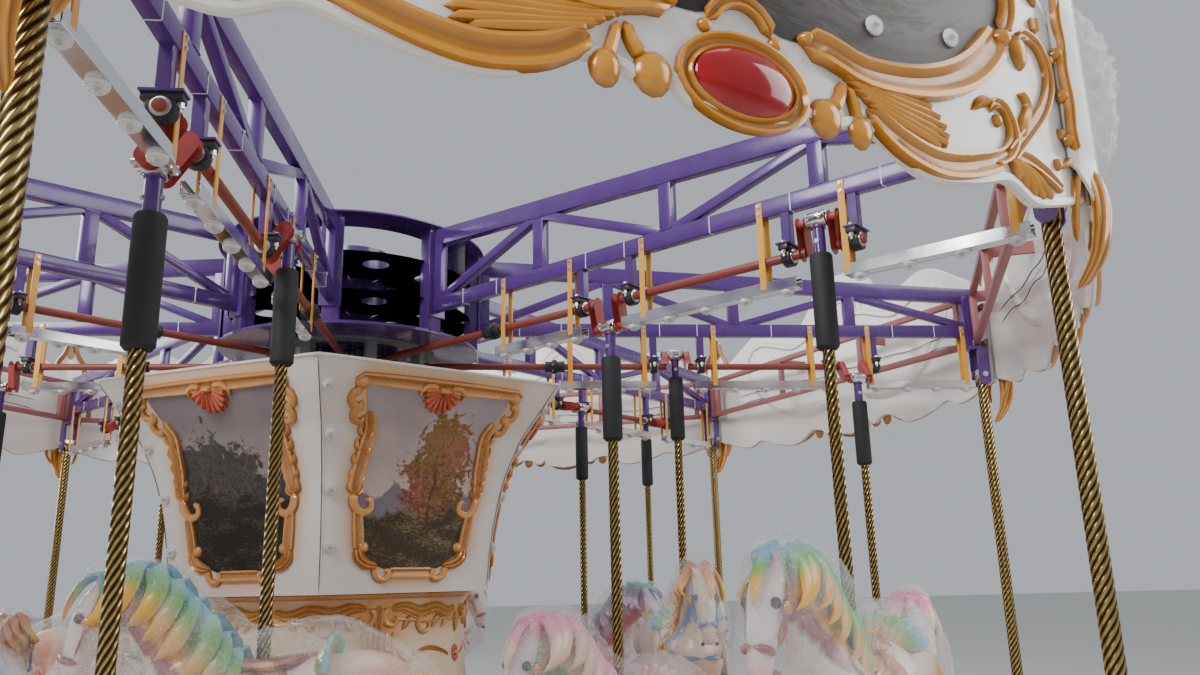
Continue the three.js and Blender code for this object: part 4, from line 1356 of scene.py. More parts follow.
@dataclass
class Crank:
    """A crankshaft with two opposed throws, a coupling and its bevel wheel."""

    shaft: float = 0.020
    pin: float = 0.015
    web_offset: float = 0.070
    web_thickness: float = 0.036
    web_big: float = 0.037
    web_small: float = 0.031
    gear_at: float = 0.180
    gear_face: float = 0.040
    gear: float = 0.060
    teeth: int = 20
    end: float = 3.325
    coupling: tuple[float, float] = (1.180, 1.300)

    def build(self, phases: dict[int, float]) -> None:
        """Cast the eight crankshafts.

        Args:
            phases: The angle of each sweep's inner throw.
        """
        mould = Mould()
        stops = [self.gear_at - 0.02]
        for number, radius in enumerate(RIDE.rows.values()):
            side = 1 if number == 0 else -1
            stops += [radius - self.web_offset, radius + self.web_offset]
            self.throw(mould, radius, side)
        stops.append(self.end)
        for start, end in zip(stops[::2], stops[1::2]):
            mould.rod((start, 0, 0), (end, 0, 0), self.shaft, PRIMER, sides=24, bevel=0.002)
        self.coupling_on(mould)
        self.bevel_wheel(mould)
        mesh = mould.data("crank")
        for n, phase in phases.items():
            place = (RIDE.sweep(n) @ Matrix.Translation((0, 0, RIDE.crank_z))
                     @ Matrix.Rotation(phase, 4, "X"))
            cast(f"crankshaft_steel_{n}", mesh, f"crankshaft_{n}", "red_primer", [f"crankshaft_{n}"], place)

    def throw(self, mould: Mould, radius: float, side: int) -> None:
        """Two webs with the pin between them."""
        for x in (radius - self.web_offset, radius + self.web_offset):
            self.web(mould, x, side)
            mould.rod((x - 0.021, side * RIDE.throw, 0), (x + 0.021, side * RIDE.throw, 0), 0.017, WEB_RED,
                      sides=20, bevel=0.002)
        mould.rod((radius - self.web_offset, side * RIDE.throw, 0),
                  (radius + self.web_offset, side * RIDE.throw, 0), self.pin, ZINC, sides=20)

    def web(self, mould: Mould, x: float, side: int) -> None:
        """A web shaped like a drop, round at both ends."""
        part, _ = mould.part()
        for reach, at in ((self.web_big, 0.0), (self.web_small, RIDE.throw)):
            disc = bmesh.ops.create_circle(part, segments=24, radius=reach)["verts"]
            bmesh.ops.translate(part, vec=(0, side * at, 0), verts=disc)
        hull = bmesh.ops.convex_hull(part, input=part.verts[:])
        bmesh.ops.delete(part, geom=only_verts(hull["geom_interior"]), context="VERTS")
        grown = bmesh.ops.extrude_face_region(part, geom=part.faces[:])["geom"]
        bmesh.ops.translate(part, vec=(0, 0, self.web_thickness), verts=only_verts(grown))
        bmesh.ops.dissolve_limit(part, angle_limit=0.01, verts=part.verts[:], edges=part.edges[:])
        bmesh.ops.recalc_face_normals(part, faces=part.faces)
        mould.soften_rims(part, 0.004)
        turn = Matrix.Translation((x - self.web_thickness / 2, 0, 0)) @ Matrix.Rotation(math.pi / 2, 4, "Y")
        mould.add(part, WEB_RED, place=turn)

    def coupling_on(self, mould: Mould) -> None:
        """A black flange coupling with its bolts."""
        start, end = self.coupling
        middle = (start + end) / 2
        for low, high, radius in ((start, middle - 0.012, 0.034), (middle - 0.012, middle, 0.045),
                                  (middle, middle + 0.012, 0.045), (middle + 0.012, end, 0.034)):
            mould.rod((low, 0, 0), (high, 0, 0), radius, CASTING, sides=24, bevel=0.002)
        for i in range(6):
            angle = i * math.pi / 3
            at = (middle - 0.012, 0.037 * math.cos(angle), 0.037 * math.sin(angle))
            mould.bolt(at, (-1, 0, 0), 0.006)

    def bevel_wheel(self, mould: Mould) -> None:
        """The small bevel wheel with its teeth."""
        low, high = self.gear_at - self.gear_face / 2, self.gear_at + self.gear_face / 2
        mould.rod((low, 0, 0), (high, 0, 0), self.gear - 0.016, CASTING, far=self.gear - 0.006, sides=40)
        for i in range(self.teeth):
            turn = Matrix.Rotation(i * 2 * math.pi / self.teeth, 4, "X")
            mould.box((low, -0.0045, self.gear - 0.018), (high, 0.0045, self.gear - 0.001), CASTING, 0.001,
                      place=turn)


@dataclass
class Twist:
    """A twisted brass tube: strands that wind round it like a rope."""

    radius: float
    strands: int
    lead: float
    points: int = 4
    step: float = 0.0215
    groove: float = 0.10

    def tube(self, mould: Mould, start: float, end: float) -> None:
        """Wind the tube up z.

        Args:
            mould: The mesh being shaped.
            start: Its lower end.
            end: Its upper end.
        """
        part, shade = mould.part()
        sides = self.strands * self.points
        ring = bmesh.ops.create_circle(part, segments=sides, radius=1.0)["verts"]
        for vert in ring:
            angle = math.atan2(vert.co.y, vert.co.x)
            crest = (0.5 + 0.5 * math.cos(angle * self.strands)) ** 0.7
            # Painted shade: the brass finish darkens between the strands where this value is low.
            vert[shade] = crest
            radius = self.radius * (1 - self.groove * (1 - crest))
            vert.co = Vector((vert.co.x * radius, vert.co.y * radius, start))
        steps = max(2, round((end - start) / self.step))
        rise = (end - start) / steps
        bmesh.ops.spin(part, geom=part.verts[:] + part.edges[:], cent=(0, 0, 0), axis=(0, 0, 1),
                       dvec=(0, 0, rise), angle=2 * math.pi * (end - start) / self.lead, steps=steps)
        bmesh.ops.holes_fill(part, edges=[e for e in part.edges if e.is_boundary], sides=0)
        bmesh.ops.recalc_face_normals(part, faces=part.faces)
        mould.add(part, BRASS, shaded=True)


FIXED_TWIST = Twist(0.033, 8, 0.264)
HORSE_TWIST = Twist(0.025, 8, 0.264, 3)


@dataclass
class FixedPoles:
    """The twisted poles at the sweeps' ends."""

    top: float = 2.867
    foot: float = 0.080
    bolt_circle: float = 0.058

    def build(self) -> None:
        """Cast the eight poles with their feet and tongues."""
        mould = Mould()
        seat = RIDE.deck_top + 0.0003
        FIXED_TWIST.tube(mould, seat + 0.010, self.top - 0.035)
        mould.lathe([(0.0, seat), (self.foot, seat), (self.foot, seat + 0.008), (0.070, seat + 0.014),
                     (0.048, seat + 0.016), (0.042, seat + 0.045), (0.033, seat + 0.050),
                     (0.0, seat + 0.050)], BRASS, 32)
        mould.lathe([(0.0, self.top - 0.045), (0.033, self.top - 0.045), (0.036, self.top - 0.038),
                     (0.036, self.top - 0.004), (0.032, self.top), (0.0, self.top)], BRASS, 28)
        mould.box((-0.030, -0.0455, self.top - 0.028), (0.030, 0.0455, self.top + 0.040), CHROME, 0.003, 2)
        for angle in range(45, 360, 90):
            turn = math.radians(angle)
            mould.bolt((self.bolt_circle * math.cos(turn), self.bolt_circle * math.sin(turn), seat + 0.013),
                       (0, 0, 1), 0.007)
        mesh = mould.data("fixed_pole")
        for n in RIDE.numbers:
            place = RIDE.sweep(n) @ Matrix.Translation((RIDE.pole_circle, 0, 0))
            cast(f"twisted_pole_{n}", mesh, "turning_frame", "twisted_brass", [f"fixed_pole_{n}"], place)


@dataclass
class DeckTrim:
    """The floor's metal edging, its purple fascia and the plates round the pole slots."""

    apothem: float = 3.797
    half: float = 1.560
    edge_bottom: float = 0.262
    fascia_bottom: float = 0.192
    slot: Point = (0.036, 0.157)
    plate: float = 0.030
    lip: float = 0.003

    def build(self) -> None:
        """Cast the trim of the whole floor."""
        edging, plates = Mould(), Mould()
        top, out = RIDE.deck_top, self.apothem
        edging.box((out - 0.006, -self.half, self.edge_bottom), (out + 0.003, self.half, top + 0.002), CHROME,
                   0.0015)
        edging.box((out - 0.020, -self.half, self.fascia_bottom), (out - 0.008, self.half, self.edge_bottom),
                   PURPLE, 0.002)
        for i in range(-5, 6):
            edging.bolt((out + 0.003, i * 0.280, self.edge_bottom + 0.018), (1, 0, 0), 0.006)
        for radius in RIDE.rows.values():
            self.slot_plate(plates, radius)
        trim = Mould()
        trim.copy_round(edging, [RIDE.side(n) for n in RIDE.numbers])
        trim.copy_round(plates, [RIDE.sweep(n) for n in RIDE.numbers])
        cast("deck_trim", trim.data("deck_trim"), "turning_frame", "chrome_trim")

    def slot_plate(self, mould: Mould, radius: float) -> None:
        """Four strips round one slot, with a screw at each corner."""
        (near, far), top = self.slot, RIDE.deck_top
        for side in (-1, 1):
            low, high = sorted((side * near, side * (near + self.plate)))
            mould.box((radius + low, -far - self.plate, top),
                      (radius + high, far + self.plate, top + self.lip), CHROME, 0.001)
            low, high = sorted((side * far, side * (far + self.plate)))
            mould.box((radius - near, low, top), (radius + near, high, top + self.lip), CHROME, 0.001)
            for end in (-1, 1):
                mould.bolt((radius + side * (near + 0.015), end * (far + 0.012), top + self.lip), (0, 0, 1),
                           0.005)


# Rounding boards


@dataclass(frozen=True)
class BowedFace:
    """The bowed front of a rounding board, with x outwards through its middle and y along it."""

    middle: float = 3.990
    bow: float = 0.1753
    half: float = 1.580

    def at(self, along: float, up: float, proud: float) -> Vector:
        """The point at a place on the front, raised off it."""
        outwards = Vector((1.0, 2 * self.bow * along / self.half ** 2, 0.0)).normalized()
        return Vector((self.middle - self.bow * (along / self.half) ** 2, along, up)) + outwards * proud


@dataclass(frozen=True)
class BoardBack:
    """The back of a rounding board, where `proud` counts towards the centre."""

    front: BowedFace = BowedFace()
    thickness: float = 0.030

    def at(self, along: float, up: float, proud: float) -> Vector:
        """The point at a place on the back, raised off it."""
        return self.front.at(along, up, -self.thickness - proud)


@dataclass(frozen=True)
class CornerFace:
    """The rounded ridge where two boards meet, with x outwards through the corner and y across it."""

    ridge: float = 4.133
    slope: float = math.tan(math.radians(10.0))
    softness: float = 0.030

    def at(self, along: float, up: float, proud: float) -> Vector:
        """The point at a place on the ridge, raised off it."""
        back = self.slope * (math.hypot(along, self.softness) - self.softness)
        outwards = Vector((1.0, self.slope * along / math.hypot(along, self.softness), 0.0)).normalized()
        return Vector((self.ridge - back, along, up)) + outwards * proud


@dataclass
class Carver:
    """Carved ornament on one surface, made in pairs on both sides of its middle."""

    mould: Mould
    surface: Surface
    finish: Finish = GOLD
    rise: float = 0.026

    def line(self, path: Sequence[Point], widths: Sequence[float], section: Section = Section.ROUND,
             rise: float | None = None, lift: float = 0.0, finish: Finish | None = None) -> None:
        """One stroke.

        Args:
            path: The points that it passes.
            widths: Its widths along it.
            section: Its cross-section.
            rise: How far it stands proud.
            lift: How far its foot lies off the surface.
            finish: Its finish, where it isn't the carver's own.
        """
        self.mould.stroke(self.surface, path, widths, rise or self.rise, finish or self.finish, section, lift)

    def pair(self, path: Sequence[Point], widths: Sequence[float], section: Section = Section.ROUND,
             rise: float | None = None, lift: float = 0.0) -> None:
        """A stroke and its mirror image."""
        self.line(path, widths, section, rise, lift)
        mirrored = [(-along, up) for along, up in reversed(path)]
        self.line(mirrored, list(reversed(widths)), section, rise, lift)

    def knobs(self, centre: Point, radii: Point, rise: float = 0.020) -> None:
        """A rounded boss and its mirror image."""
        for side in (1, -1):
            self.mould.dome(self.surface, (side * centre[0], centre[1]), radii, rise, self.finish)

    def fan(self, start: Point, ends: Sequence[Point], width: float) -> None:
        """Pointed ribs that spread from one place, in pairs.

        Args:
            start: Where they spread from.
            ends: Their tips on the right side.
            width: The width of each.
        """
        for end in ends:
            middle = (blend(start[0], end[0], 0.55), blend(start[1], end[1], 0.55))
            self.pair([start, middle, end], [width * 0.7, width, width * 0.9, width * 0.35], Section.RIDGE)


@dataclass
class RoundingBoards:
    """Bowed boards with a gem, carved scrolls, a picture, lamps and the rails behind them."""

    thickness: float = 0.030
    end: float = 1.560
    gem: Point = (0.158, 0.099)
    gem_at: Point = (0.0, 2.830)
    rail: float = 0.040
    rail_levels: Point = (3.085, 3.390)
    rail_at: float = 3.690
    rail_end: float = 1.4925
    picture_end: float = 1.148
    standoffs: tuple[float, ...] = (-1.400, -0.470, 0.470, 1.400)
    lamp_places: tuple[Point, ...] = ((0.480, 3.135), (0.823, 3.206))
    lower_edge: tuple[Point, ...] = (
        (0, 2.722), (0.150, 2.748), (0.215, 2.800), (0.262, 2.758), (0.335, 2.798), (0.448, 2.806),
        (0.640, 2.722), (0.860, 2.748), (1.040, 2.800), (1.106, 2.790), (1.184, 2.760), (1.290, 2.775),
        (1.560, 2.850),
    )
    upper_edge: tuple[Point, ...] = (
        (0, 4.040), (0.100, 4.030), (0.180, 4.000), (0.270, 3.930), (0.330, 3.915), (0.400, 3.810),
        (0.560, 3.705), (0.958, 3.790), (1.330, 3.600), (1.480, 3.500), (1.560, 3.470),
    )
    stem: tuple[Point, ...] = (
        (0.190, 3.005), (0.290, 2.998), (0.430, 2.969), (0.661, 3.006), (0.860, 3.095), (0.998, 3.210),
        (1.076, 3.308),
    )
    frame_side: tuple[Point, ...] = (
        (1.110, 3.325), (1.150, 3.400), (1.163, 3.468), (1.150, 3.560), (1.085, 3.630),
    )
    frame_top: tuple[Point, ...] = (
        (0.030, 3.655), (0.220, 3.665), (0.420, 3.600), (0.600, 3.555), (0.800, 3.610), (0.980, 3.655),
        (1.095, 3.622),
    )

    def build(self) -> None:
        """Cast the eight boards with their pictures, lamps and rails."""
        face = BowedFace()
        board, picture, rails, lamps = Mould(), Mould(), Mould(), Mould()
        self.panel(board, face)
        self.gem_setting(board, face)
        self.scrolls(Carver(board, face))
        self.branches(Carver(board, face))
        self.crest(Carver(board, face))
        self.back(Carver(board, BoardBack(), GELCOAT, 0.014))
        self.picture(picture, face)
        self.ladder(rails, face)
        for side in (-1, 1):
            for along, up in self.lamp_places:
                cap_lamp(lamps, facing(face, side * along, up, 0.003))
        meshes = [(name, mould.data(name), slot) for name, mould, slot in (
            ("moulded_board", board, "white_moulding"), ("board_picture", picture, "white_moulding"),
            ("board_rails", rails, "purple_paint"), ("board_lamps", lamps, "clear_lamp"))]
        for n in RIDE.numbers:
            for name, mesh, slot in meshes:
                stands_for = [f"rounding_board_{n}"] if name == "moulded_board" else []
                cast(f"{name}_{n}", mesh, "turning_frame", slot, stands_for, RIDE.side(n))

    def panel(self, mould: Mould, face: BowedFace) -> None:
        """The white panel with its rolled rim."""
        low, high = smooth_line(self.lower_edge), smooth_line(self.upper_edge)
        mould.sheet(face, low, high, -self.end, self.end, GELCOAT, 130, 2, self.thickness)
        steps = 90
        places = [blend(-self.end + 0.01, self.end - 0.01, i / steps) for i in range(steps + 1)]
        for line, shift in ((low, 0.010), (high, -0.010)):
            path = [(along, line(along) + shift) for along in places]
            mould.stroke(face, path, [0.034], 0.012, GELCOAT, Section.ROUND, -0.001, spacing=0.030)

    def gem_setting(self, mould: Mould, face: BowedFace) -> None:
        """The red gem in its ring, under a small arch."""
        mould.dome(face, self.gem_at, self.gem, 0.058, GEM, 14, 36)
        ring = [(0.177 * math.cos(a), self.gem_at[1] + 0.109 * math.sin(a))
                for a in (2 * math.pi * i / 48 for i in range(49))]
        mould.stroke(face, ring, [0.046], 0.026, GOLD, Section.TROUGH, ring=True)
        carver = Carver(mould, face)
        carver.line([(-0.100, 2.985), (-0.060, 3.040), (0, 3.062), (0.060, 3.040), (0.100, 2.985)], [0.045],
                    Section.TROUGH)
        carver.knobs((0.108, 2.968), (0.021, 0.021))

    def scrolls(self, carver: Carver) -> None:
        """The main stem, the drops beside the gem and the wave along the lower edge."""
        carver.pair(self.stem, [0.096, 0.100, 0.108, 0.118, 0.128, 0.120], Section.TROUGH, 0.040)
        carver.knobs((0.207, 3.010), (0.021, 0.021), 0.036)
        carver.knobs((1.098, 3.296), (0.034, 0.034), 0.044)
        carver.pair([(0.330, 2.925), (0.318, 2.870), (0.283, 2.826)], [0.030, 0.040, 0.046])
        carver.knobs((0.262, 2.797), (0.054, 0.060), 0.036)
        carver.pair([(0.350, 2.920), (0.368, 2.850), (0.385, 2.800)], [0.026, 0.034, 0.036])
        carver.knobs((0.386, 2.787), (0.042, 0.052), 0.030)
        carver.pair([(0.420, 2.868), (0.480, 2.822), (0.560, 2.785), (0.680, 2.765), (0.800, 2.782),
                     (0.920, 2.820), (1.020, 2.862)], [0.070, 0.092, 0.092, 0.086, 0.070], Section.TROUGH,
                    0.032)
        tips = ((0.700, 2.935), (0.735, 2.912), (0.757, 2.886), (0.765, 2.858), (0.755, 2.832),
                (0.720, 2.815))
        for i, tip in enumerate(tips):
            share = i / (len(tips) - 1)
            start = (blend(0.300, 0.420, share), blend(2.962, 2.882, share))
            middle = (blend(0.500, 0.560, share), blend(2.930, 2.846, share))
            carver.pair([start, middle, tip], [0.026, 0.034, 0.040, 0.034, 0.022], Section.ROUND, 0.030)
        carver.pair([(0.735, 2.808), (0.830, 2.815), (0.905, 2.850)], [0.020, 0.036, 0.024], Section.RIDGE)

    def branches(self, carver: Carver) -> None:
        """The scrolls and leaves between the stem and the corner."""
        carver.pair([(0.960, 2.840), (1.050, 2.890), (1.095, 2.964), (1.065, 3.040), (1.010, 3.045),
                     (0.992, 3.008)], [0.050, 0.052, 0.048, 0.040, 0.034], Section.TROUGH)
        carver.knobs((1.022, 2.990), (0.022, 0.022))
        carver.pair([(1.010, 3.052), (0.950, 3.034), (0.893, 2.990)], [0.034, 0.044, 0.012], Section.RIDGE)
        carver.pair([(1.050, 2.870), (1.152, 2.963), (1.312, 3.116), (1.380, 3.249), (1.339, 3.347),
                     (1.250, 3.365), (1.212, 3.330)], [0.050, 0.052, 0.048, 0.044, 0.040], Section.TROUGH)
        carver.knobs((1.203, 3.286), (0.044, 0.066), 0.030)
        carver.pair([(1.150, 2.960), (1.176, 3.030), (1.211, 3.080), (1.200, 3.122), (1.166, 3.126)],
                    [0.030, 0.044, 0.040, 0.030])
        carver.pair([(1.335, 3.395), (1.335, 3.470)], [0.038])
        for tip in ((1.106, 2.800), (1.150, 2.782), (1.196, 2.768), (1.246, 2.770), (1.300, 2.786)):
            carver.pair([(1.062, 2.884), (blend(1.062, tip[0], 0.6), blend(2.884, tip[1], 0.45)), tip],
                        [0.026, 0.040, 0.044, 0.026], Section.ROUND)
        carver.pair([(1.075, 2.892), (1.170, 2.893), (1.270, 2.874), (1.380, 2.838)],
                    [0.040, 0.050, 0.046, 0.030], Section.TROUGH)
        for up, along in ((3.330, 1.476), (3.060, 1.486), (2.935, 1.430)):
            carver.knobs((along - 0.060, up), (0.022, 0.022))
            carver.pair([(along - 0.042, up), (along, up + 0.016), (along + 0.040, up + 0.050)],
                        [0.018, 0.026, 0.034])

    def crest(self, carver: Carver) -> None:
        """The frame over the picture and the shell in the crest."""
        carver.pair(self.frame_side, [0.062, 0.066, 0.058], Section.TROUGH, 0.034)
        carver.pair(self.frame_top, [0.070, 0.064, 0.060], Section.TROUGH, 0.032)
        carver.knobs((1.112, 3.646), (0.036, 0.036), 0.040)
        carver.fan((0.0, 3.690), [(0.035, 3.975), (0.110, 3.950), (0.180, 3.895), (0.232, 3.820),
                                  (0.262, 3.745)], 0.062)
        carver.line([(-0.060, 3.700), (0, 3.722), (0.060, 3.700)], [0.060], Section.ROUND, 0.046)
        carver.pair([(0.300, 3.700), (0.420, 3.690), (0.540, 3.640), (0.700, 3.680), (0.860, 3.725)],
                    [0.040, 0.050, 0.030], Section.RIDGE)
        carver.pair([(0.900, 3.715), (1.060, 3.690), (1.230, 3.600), (1.380, 3.520)], [0.030, 0.044, 0.024],
                    Section.RIDGE)

    def back(self, carver: Carver) -> None:
        """The relief that shows through on the back, and the black lamp wiring that is clipped to it."""
        carver.pair(self.stem, [0.100], Section.SIMPLE)
        carver.pair(self.frame_side, [0.060], Section.SIMPLE)
        carver.pair(self.frame_top, [0.060], Section.SIMPLE)
        for reach in (0.110, 0.180, 0.250):
            arc = [(-math.cos(a) * reach, 3.700 + math.sin(a) * reach)
                   for a in (math.pi * i / 6 for i in range(7))]
            carver.line(arc, [0.034], Section.SIMPLE)
        for level, sag in ((3.170, 0.030), (3.240, 0.018)):
            path = [carver.surface.at(0.260 * i, level - sag * (i % 2), 0.018) for i in range(-5, 6)]
            carver.mould.tube(path, [0.007], [0.007], CASTING, sides=6, spacing=0.090)

    def picture(self, mould: Mould, face: BowedFace) -> None:
        """The print inside the frame."""
        low_knots = ((0, 3.060), (0.060, 3.042), (0.120, 3.000), *self.stem[1:], (1.110, 3.350),
                     (1.150, 3.420))
        high_knots = ((0, 3.655), *self.frame_top[1:6], (1.150, 3.540))
        low, high = smooth_line(low_knots), smooth_line(high_knots)
        mould.sheet(face, low, high, -self.picture_end, self.picture_end, WOOD, 72, 2,
                    lift=lambda along, up: 0.0025)

    def ladder(self, mould: Mould, face: BowedFace) -> None:
        """The rails behind the board, its arms and their bolts."""
        low, high = self.rail_levels
        at, half = self.rail_at, self.rail / 2
        for level in (low, high):
            mould.bar((at, -self.rail_end, level), (at, self.rail_end, level), self.rail, self.rail,
                      PINK_PRIMER)
        for along in (-self.rail_end + half, *self.standoffs, self.rail_end - half):
            mould.bar((at, along, low), (at, along, high), self.rail - 0.002, self.rail - 0.002, PINK_PRIMER)
        for along in self.standoffs:
            front = face.at(along, high, -self.thickness + 0.006).x
            mould.box((at, along - 0.010, high - 0.060), (front, along + 0.010, high + 0.010), PINK_PRIMER,
                      0.002)
            for z in (high - 0.040, high - 0.010):
                mould.bolt((at + 0.045, along + 0.010, z), (0, 1, 0), 0.007)


@dataclass
class CornerShields:
    """The shields over the corners between two boards: carved foot, scrolled frame and loose clear film."""

    reach: float = 0.140
    low_middle: float = 2.760
    low_side: float = 2.960
    high_middle: float = 3.860
    high_side: float = 3.500
    film_top: float = 3.560
    film_bottom: float = 2.980
    flat_film: Point = (0.40, 0.62)
    film_reach: float = 0.152
    bulge: float = 0.095
    swelling: float = 0.036
    gap: float = 0.004

    def build(self) -> None:
        """Cast the eight shields and their film."""
        face = CornerFace()
        shield, film = Mould(), Mould()
        mould_high = smooth_line(((0, self.high_middle), (0.060, 3.700), (self.reach, self.high_side)))
        mould_low = smooth_line(((0, self.low_middle), (0.070, 2.860), (self.reach, self.low_side)))
        shield.sheet(face, mould_low, mould_high, -self.reach, self.reach, GELCOAT, 16, 16, 0.012, self.swell)
        self.frame(Carver(shield, face, rise=0.024))
        self.foot(shield)
        self.tie(shield)
        film.sheet(face, lambda along: self.film_bottom, lambda along: self.film_top, -0.150, 0.150,
                   SHIELD_FILM, 26, 40, lift=self.loose)
        meshes = shield.data("shield"), film.data("shield_film")
        for n in RIDE.numbers:
            cast(f"corner_shield_{n}", meshes[0], "turning_frame", "white_moulding", [f"rounding_board_{n}"],
                 RIDE.sweep(n))
            wrap = cast(f"shield_film_{n}", meshes[1], "turning_frame", "clear_lamp", place=RIDE.sweep(n))

    def swell(self, along: float, up: float) -> float:
        """How far the shield's skin stands off the boards."""
        return self.swelling * max(0.0, 1 - (along / self.reach) ** 2) ** 0.6 + self.gap

    def loose(self, along: float, up: float) -> float:
        """How far the film stands off the boards, with folds where it is pulled in."""
        share = (up - self.film_bottom) / (self.film_top - self.film_bottom)
        belly = math.sin(math.pi * share) ** 0.6 * max(0.0, 1 - (along / self.film_reach) ** 2) ** 0.7
        broad = noise.noise(Vector((along * 16, up * 7, 3.1))) * 0.5
        fold = broad + noise.noise(Vector((along * 40, up * 26, 9)))
        return 0.048 + self.bulge * belly * (0.85 + 0.3 * fold) + 0.004 * fold

    def frame(self, carver: Carver) -> None:
        """The scrolled gold frame of the shield."""
        lift = 0.030
        carver.pair([(0.026, 3.800), (0.052, 3.690), (0.098, 3.610), (0.122, 3.500), (0.112, 3.400),
                     (0.128, 3.300), (0.118, 3.180), (0.130, 3.070), (0.112, 2.990)],
                    [0.032, 0.040, 0.034, 0.040, 0.034], Section.TROUGH, lift=lift * 0.4)
        carver.line([(0, 3.640), (0, 3.845)], [0.060, 0.050, 0.024], Section.RIDGE, 0.030, lift)
        for up in (3.360, 3.200, 3.040):
            carver.knobs((0.138, up), (0.020, 0.026), 0.030)
        carver.fan((0, 2.900), [(0.030, 3.060), (0.070, 3.030), (0.100, 2.980)], 0.040)

    def foot(self, mould: Mould) -> None:
        """The fluted horn that curls under the shield."""
        mould.tube([(4.140, 0, 2.985), (4.163, 0, 2.880), (4.160, 0, 2.770), (4.130, 0, 2.660),
                    (4.080, 0, 2.585), (4.052, 0, 2.562)], [0.150, 0.156, 0.146, 0.120, 0.078, 0.040],
                   [0.050, 0.058, 0.062, 0.056, 0.044, 0.030], GOLD, sides=32, flutes=8, spacing=0.035)
        for side in (-1, 1):
            mould.tube([(4.120, side * 0.060, 2.960), (4.118, side * 0.112, 2.880),
                        (4.104, side * 0.118, 2.780), (4.090, side * 0.082, 2.700)],
                       [0.034, 0.046, 0.040, 0.020], [0.030, 0.034, 0.030, 0.020], GOLD, sides=12, flutes=3)

    def tie(self, mould: Mould) -> None:
        """The straps that hold the two boards' ends together."""
        for z in (3.060, 3.300):
            mould.box((4.040, -0.055, z), (4.048, 0.055, z + 0.045), PINK_PRIMER, 0.002)
            for side in (-1, 1):
                mould.bolt((4.040, side * 0.035, z + 0.022), (-1, 0, 0), 0.007)


# Centre


@dataclass(frozen=True)
class DrumFace:
    """One flat flared side of the drum, with x outwards through its middle.

    `along` runs from -1 at one corner to 1 at the other where `shares` is set, and in metres where it isn't.
    """

    profile: tuple[Point, ...] = (
        (1.6005, 0.950), (1.760, 0.962), (1.920, 0.986), (2.080, 1.020), (2.215, 1.064), (2.400, 1.155),
        (2.560, 1.285), (2.695, 1.390),
    )
    shares: bool = False
    rounding: float = 0.085
    softness: float = 0.010

    def radius(self, up: float) -> float:
        """The distance of the corner from the axis."""
        return between(self.profile, up)

    def half(self, up: float) -> float:
        """Half the width of the side."""
        return self.radius(up) / 2

    def at(self, along: float, up: float, proud: float) -> Vector:
        """The point at a place on the side, raised off it."""
        half = self.half(up)
        across = along * half if self.shares else along
        near_corner = max(0.0, 1 - (half - abs(across)) / self.rounding)
        apothem = self.radius(up) * math.cos(math.pi / 6) - self.softness * near_corner ** 2
        flare = (self.radius(up + 0.02) - self.radius(up - 0.02)) / 0.04 * math.cos(math.pi / 6)
        outwards = Vector((1.0, 0.0, -flare)).normalized()
        return Vector((apothem, across, up)) + outwards * proud


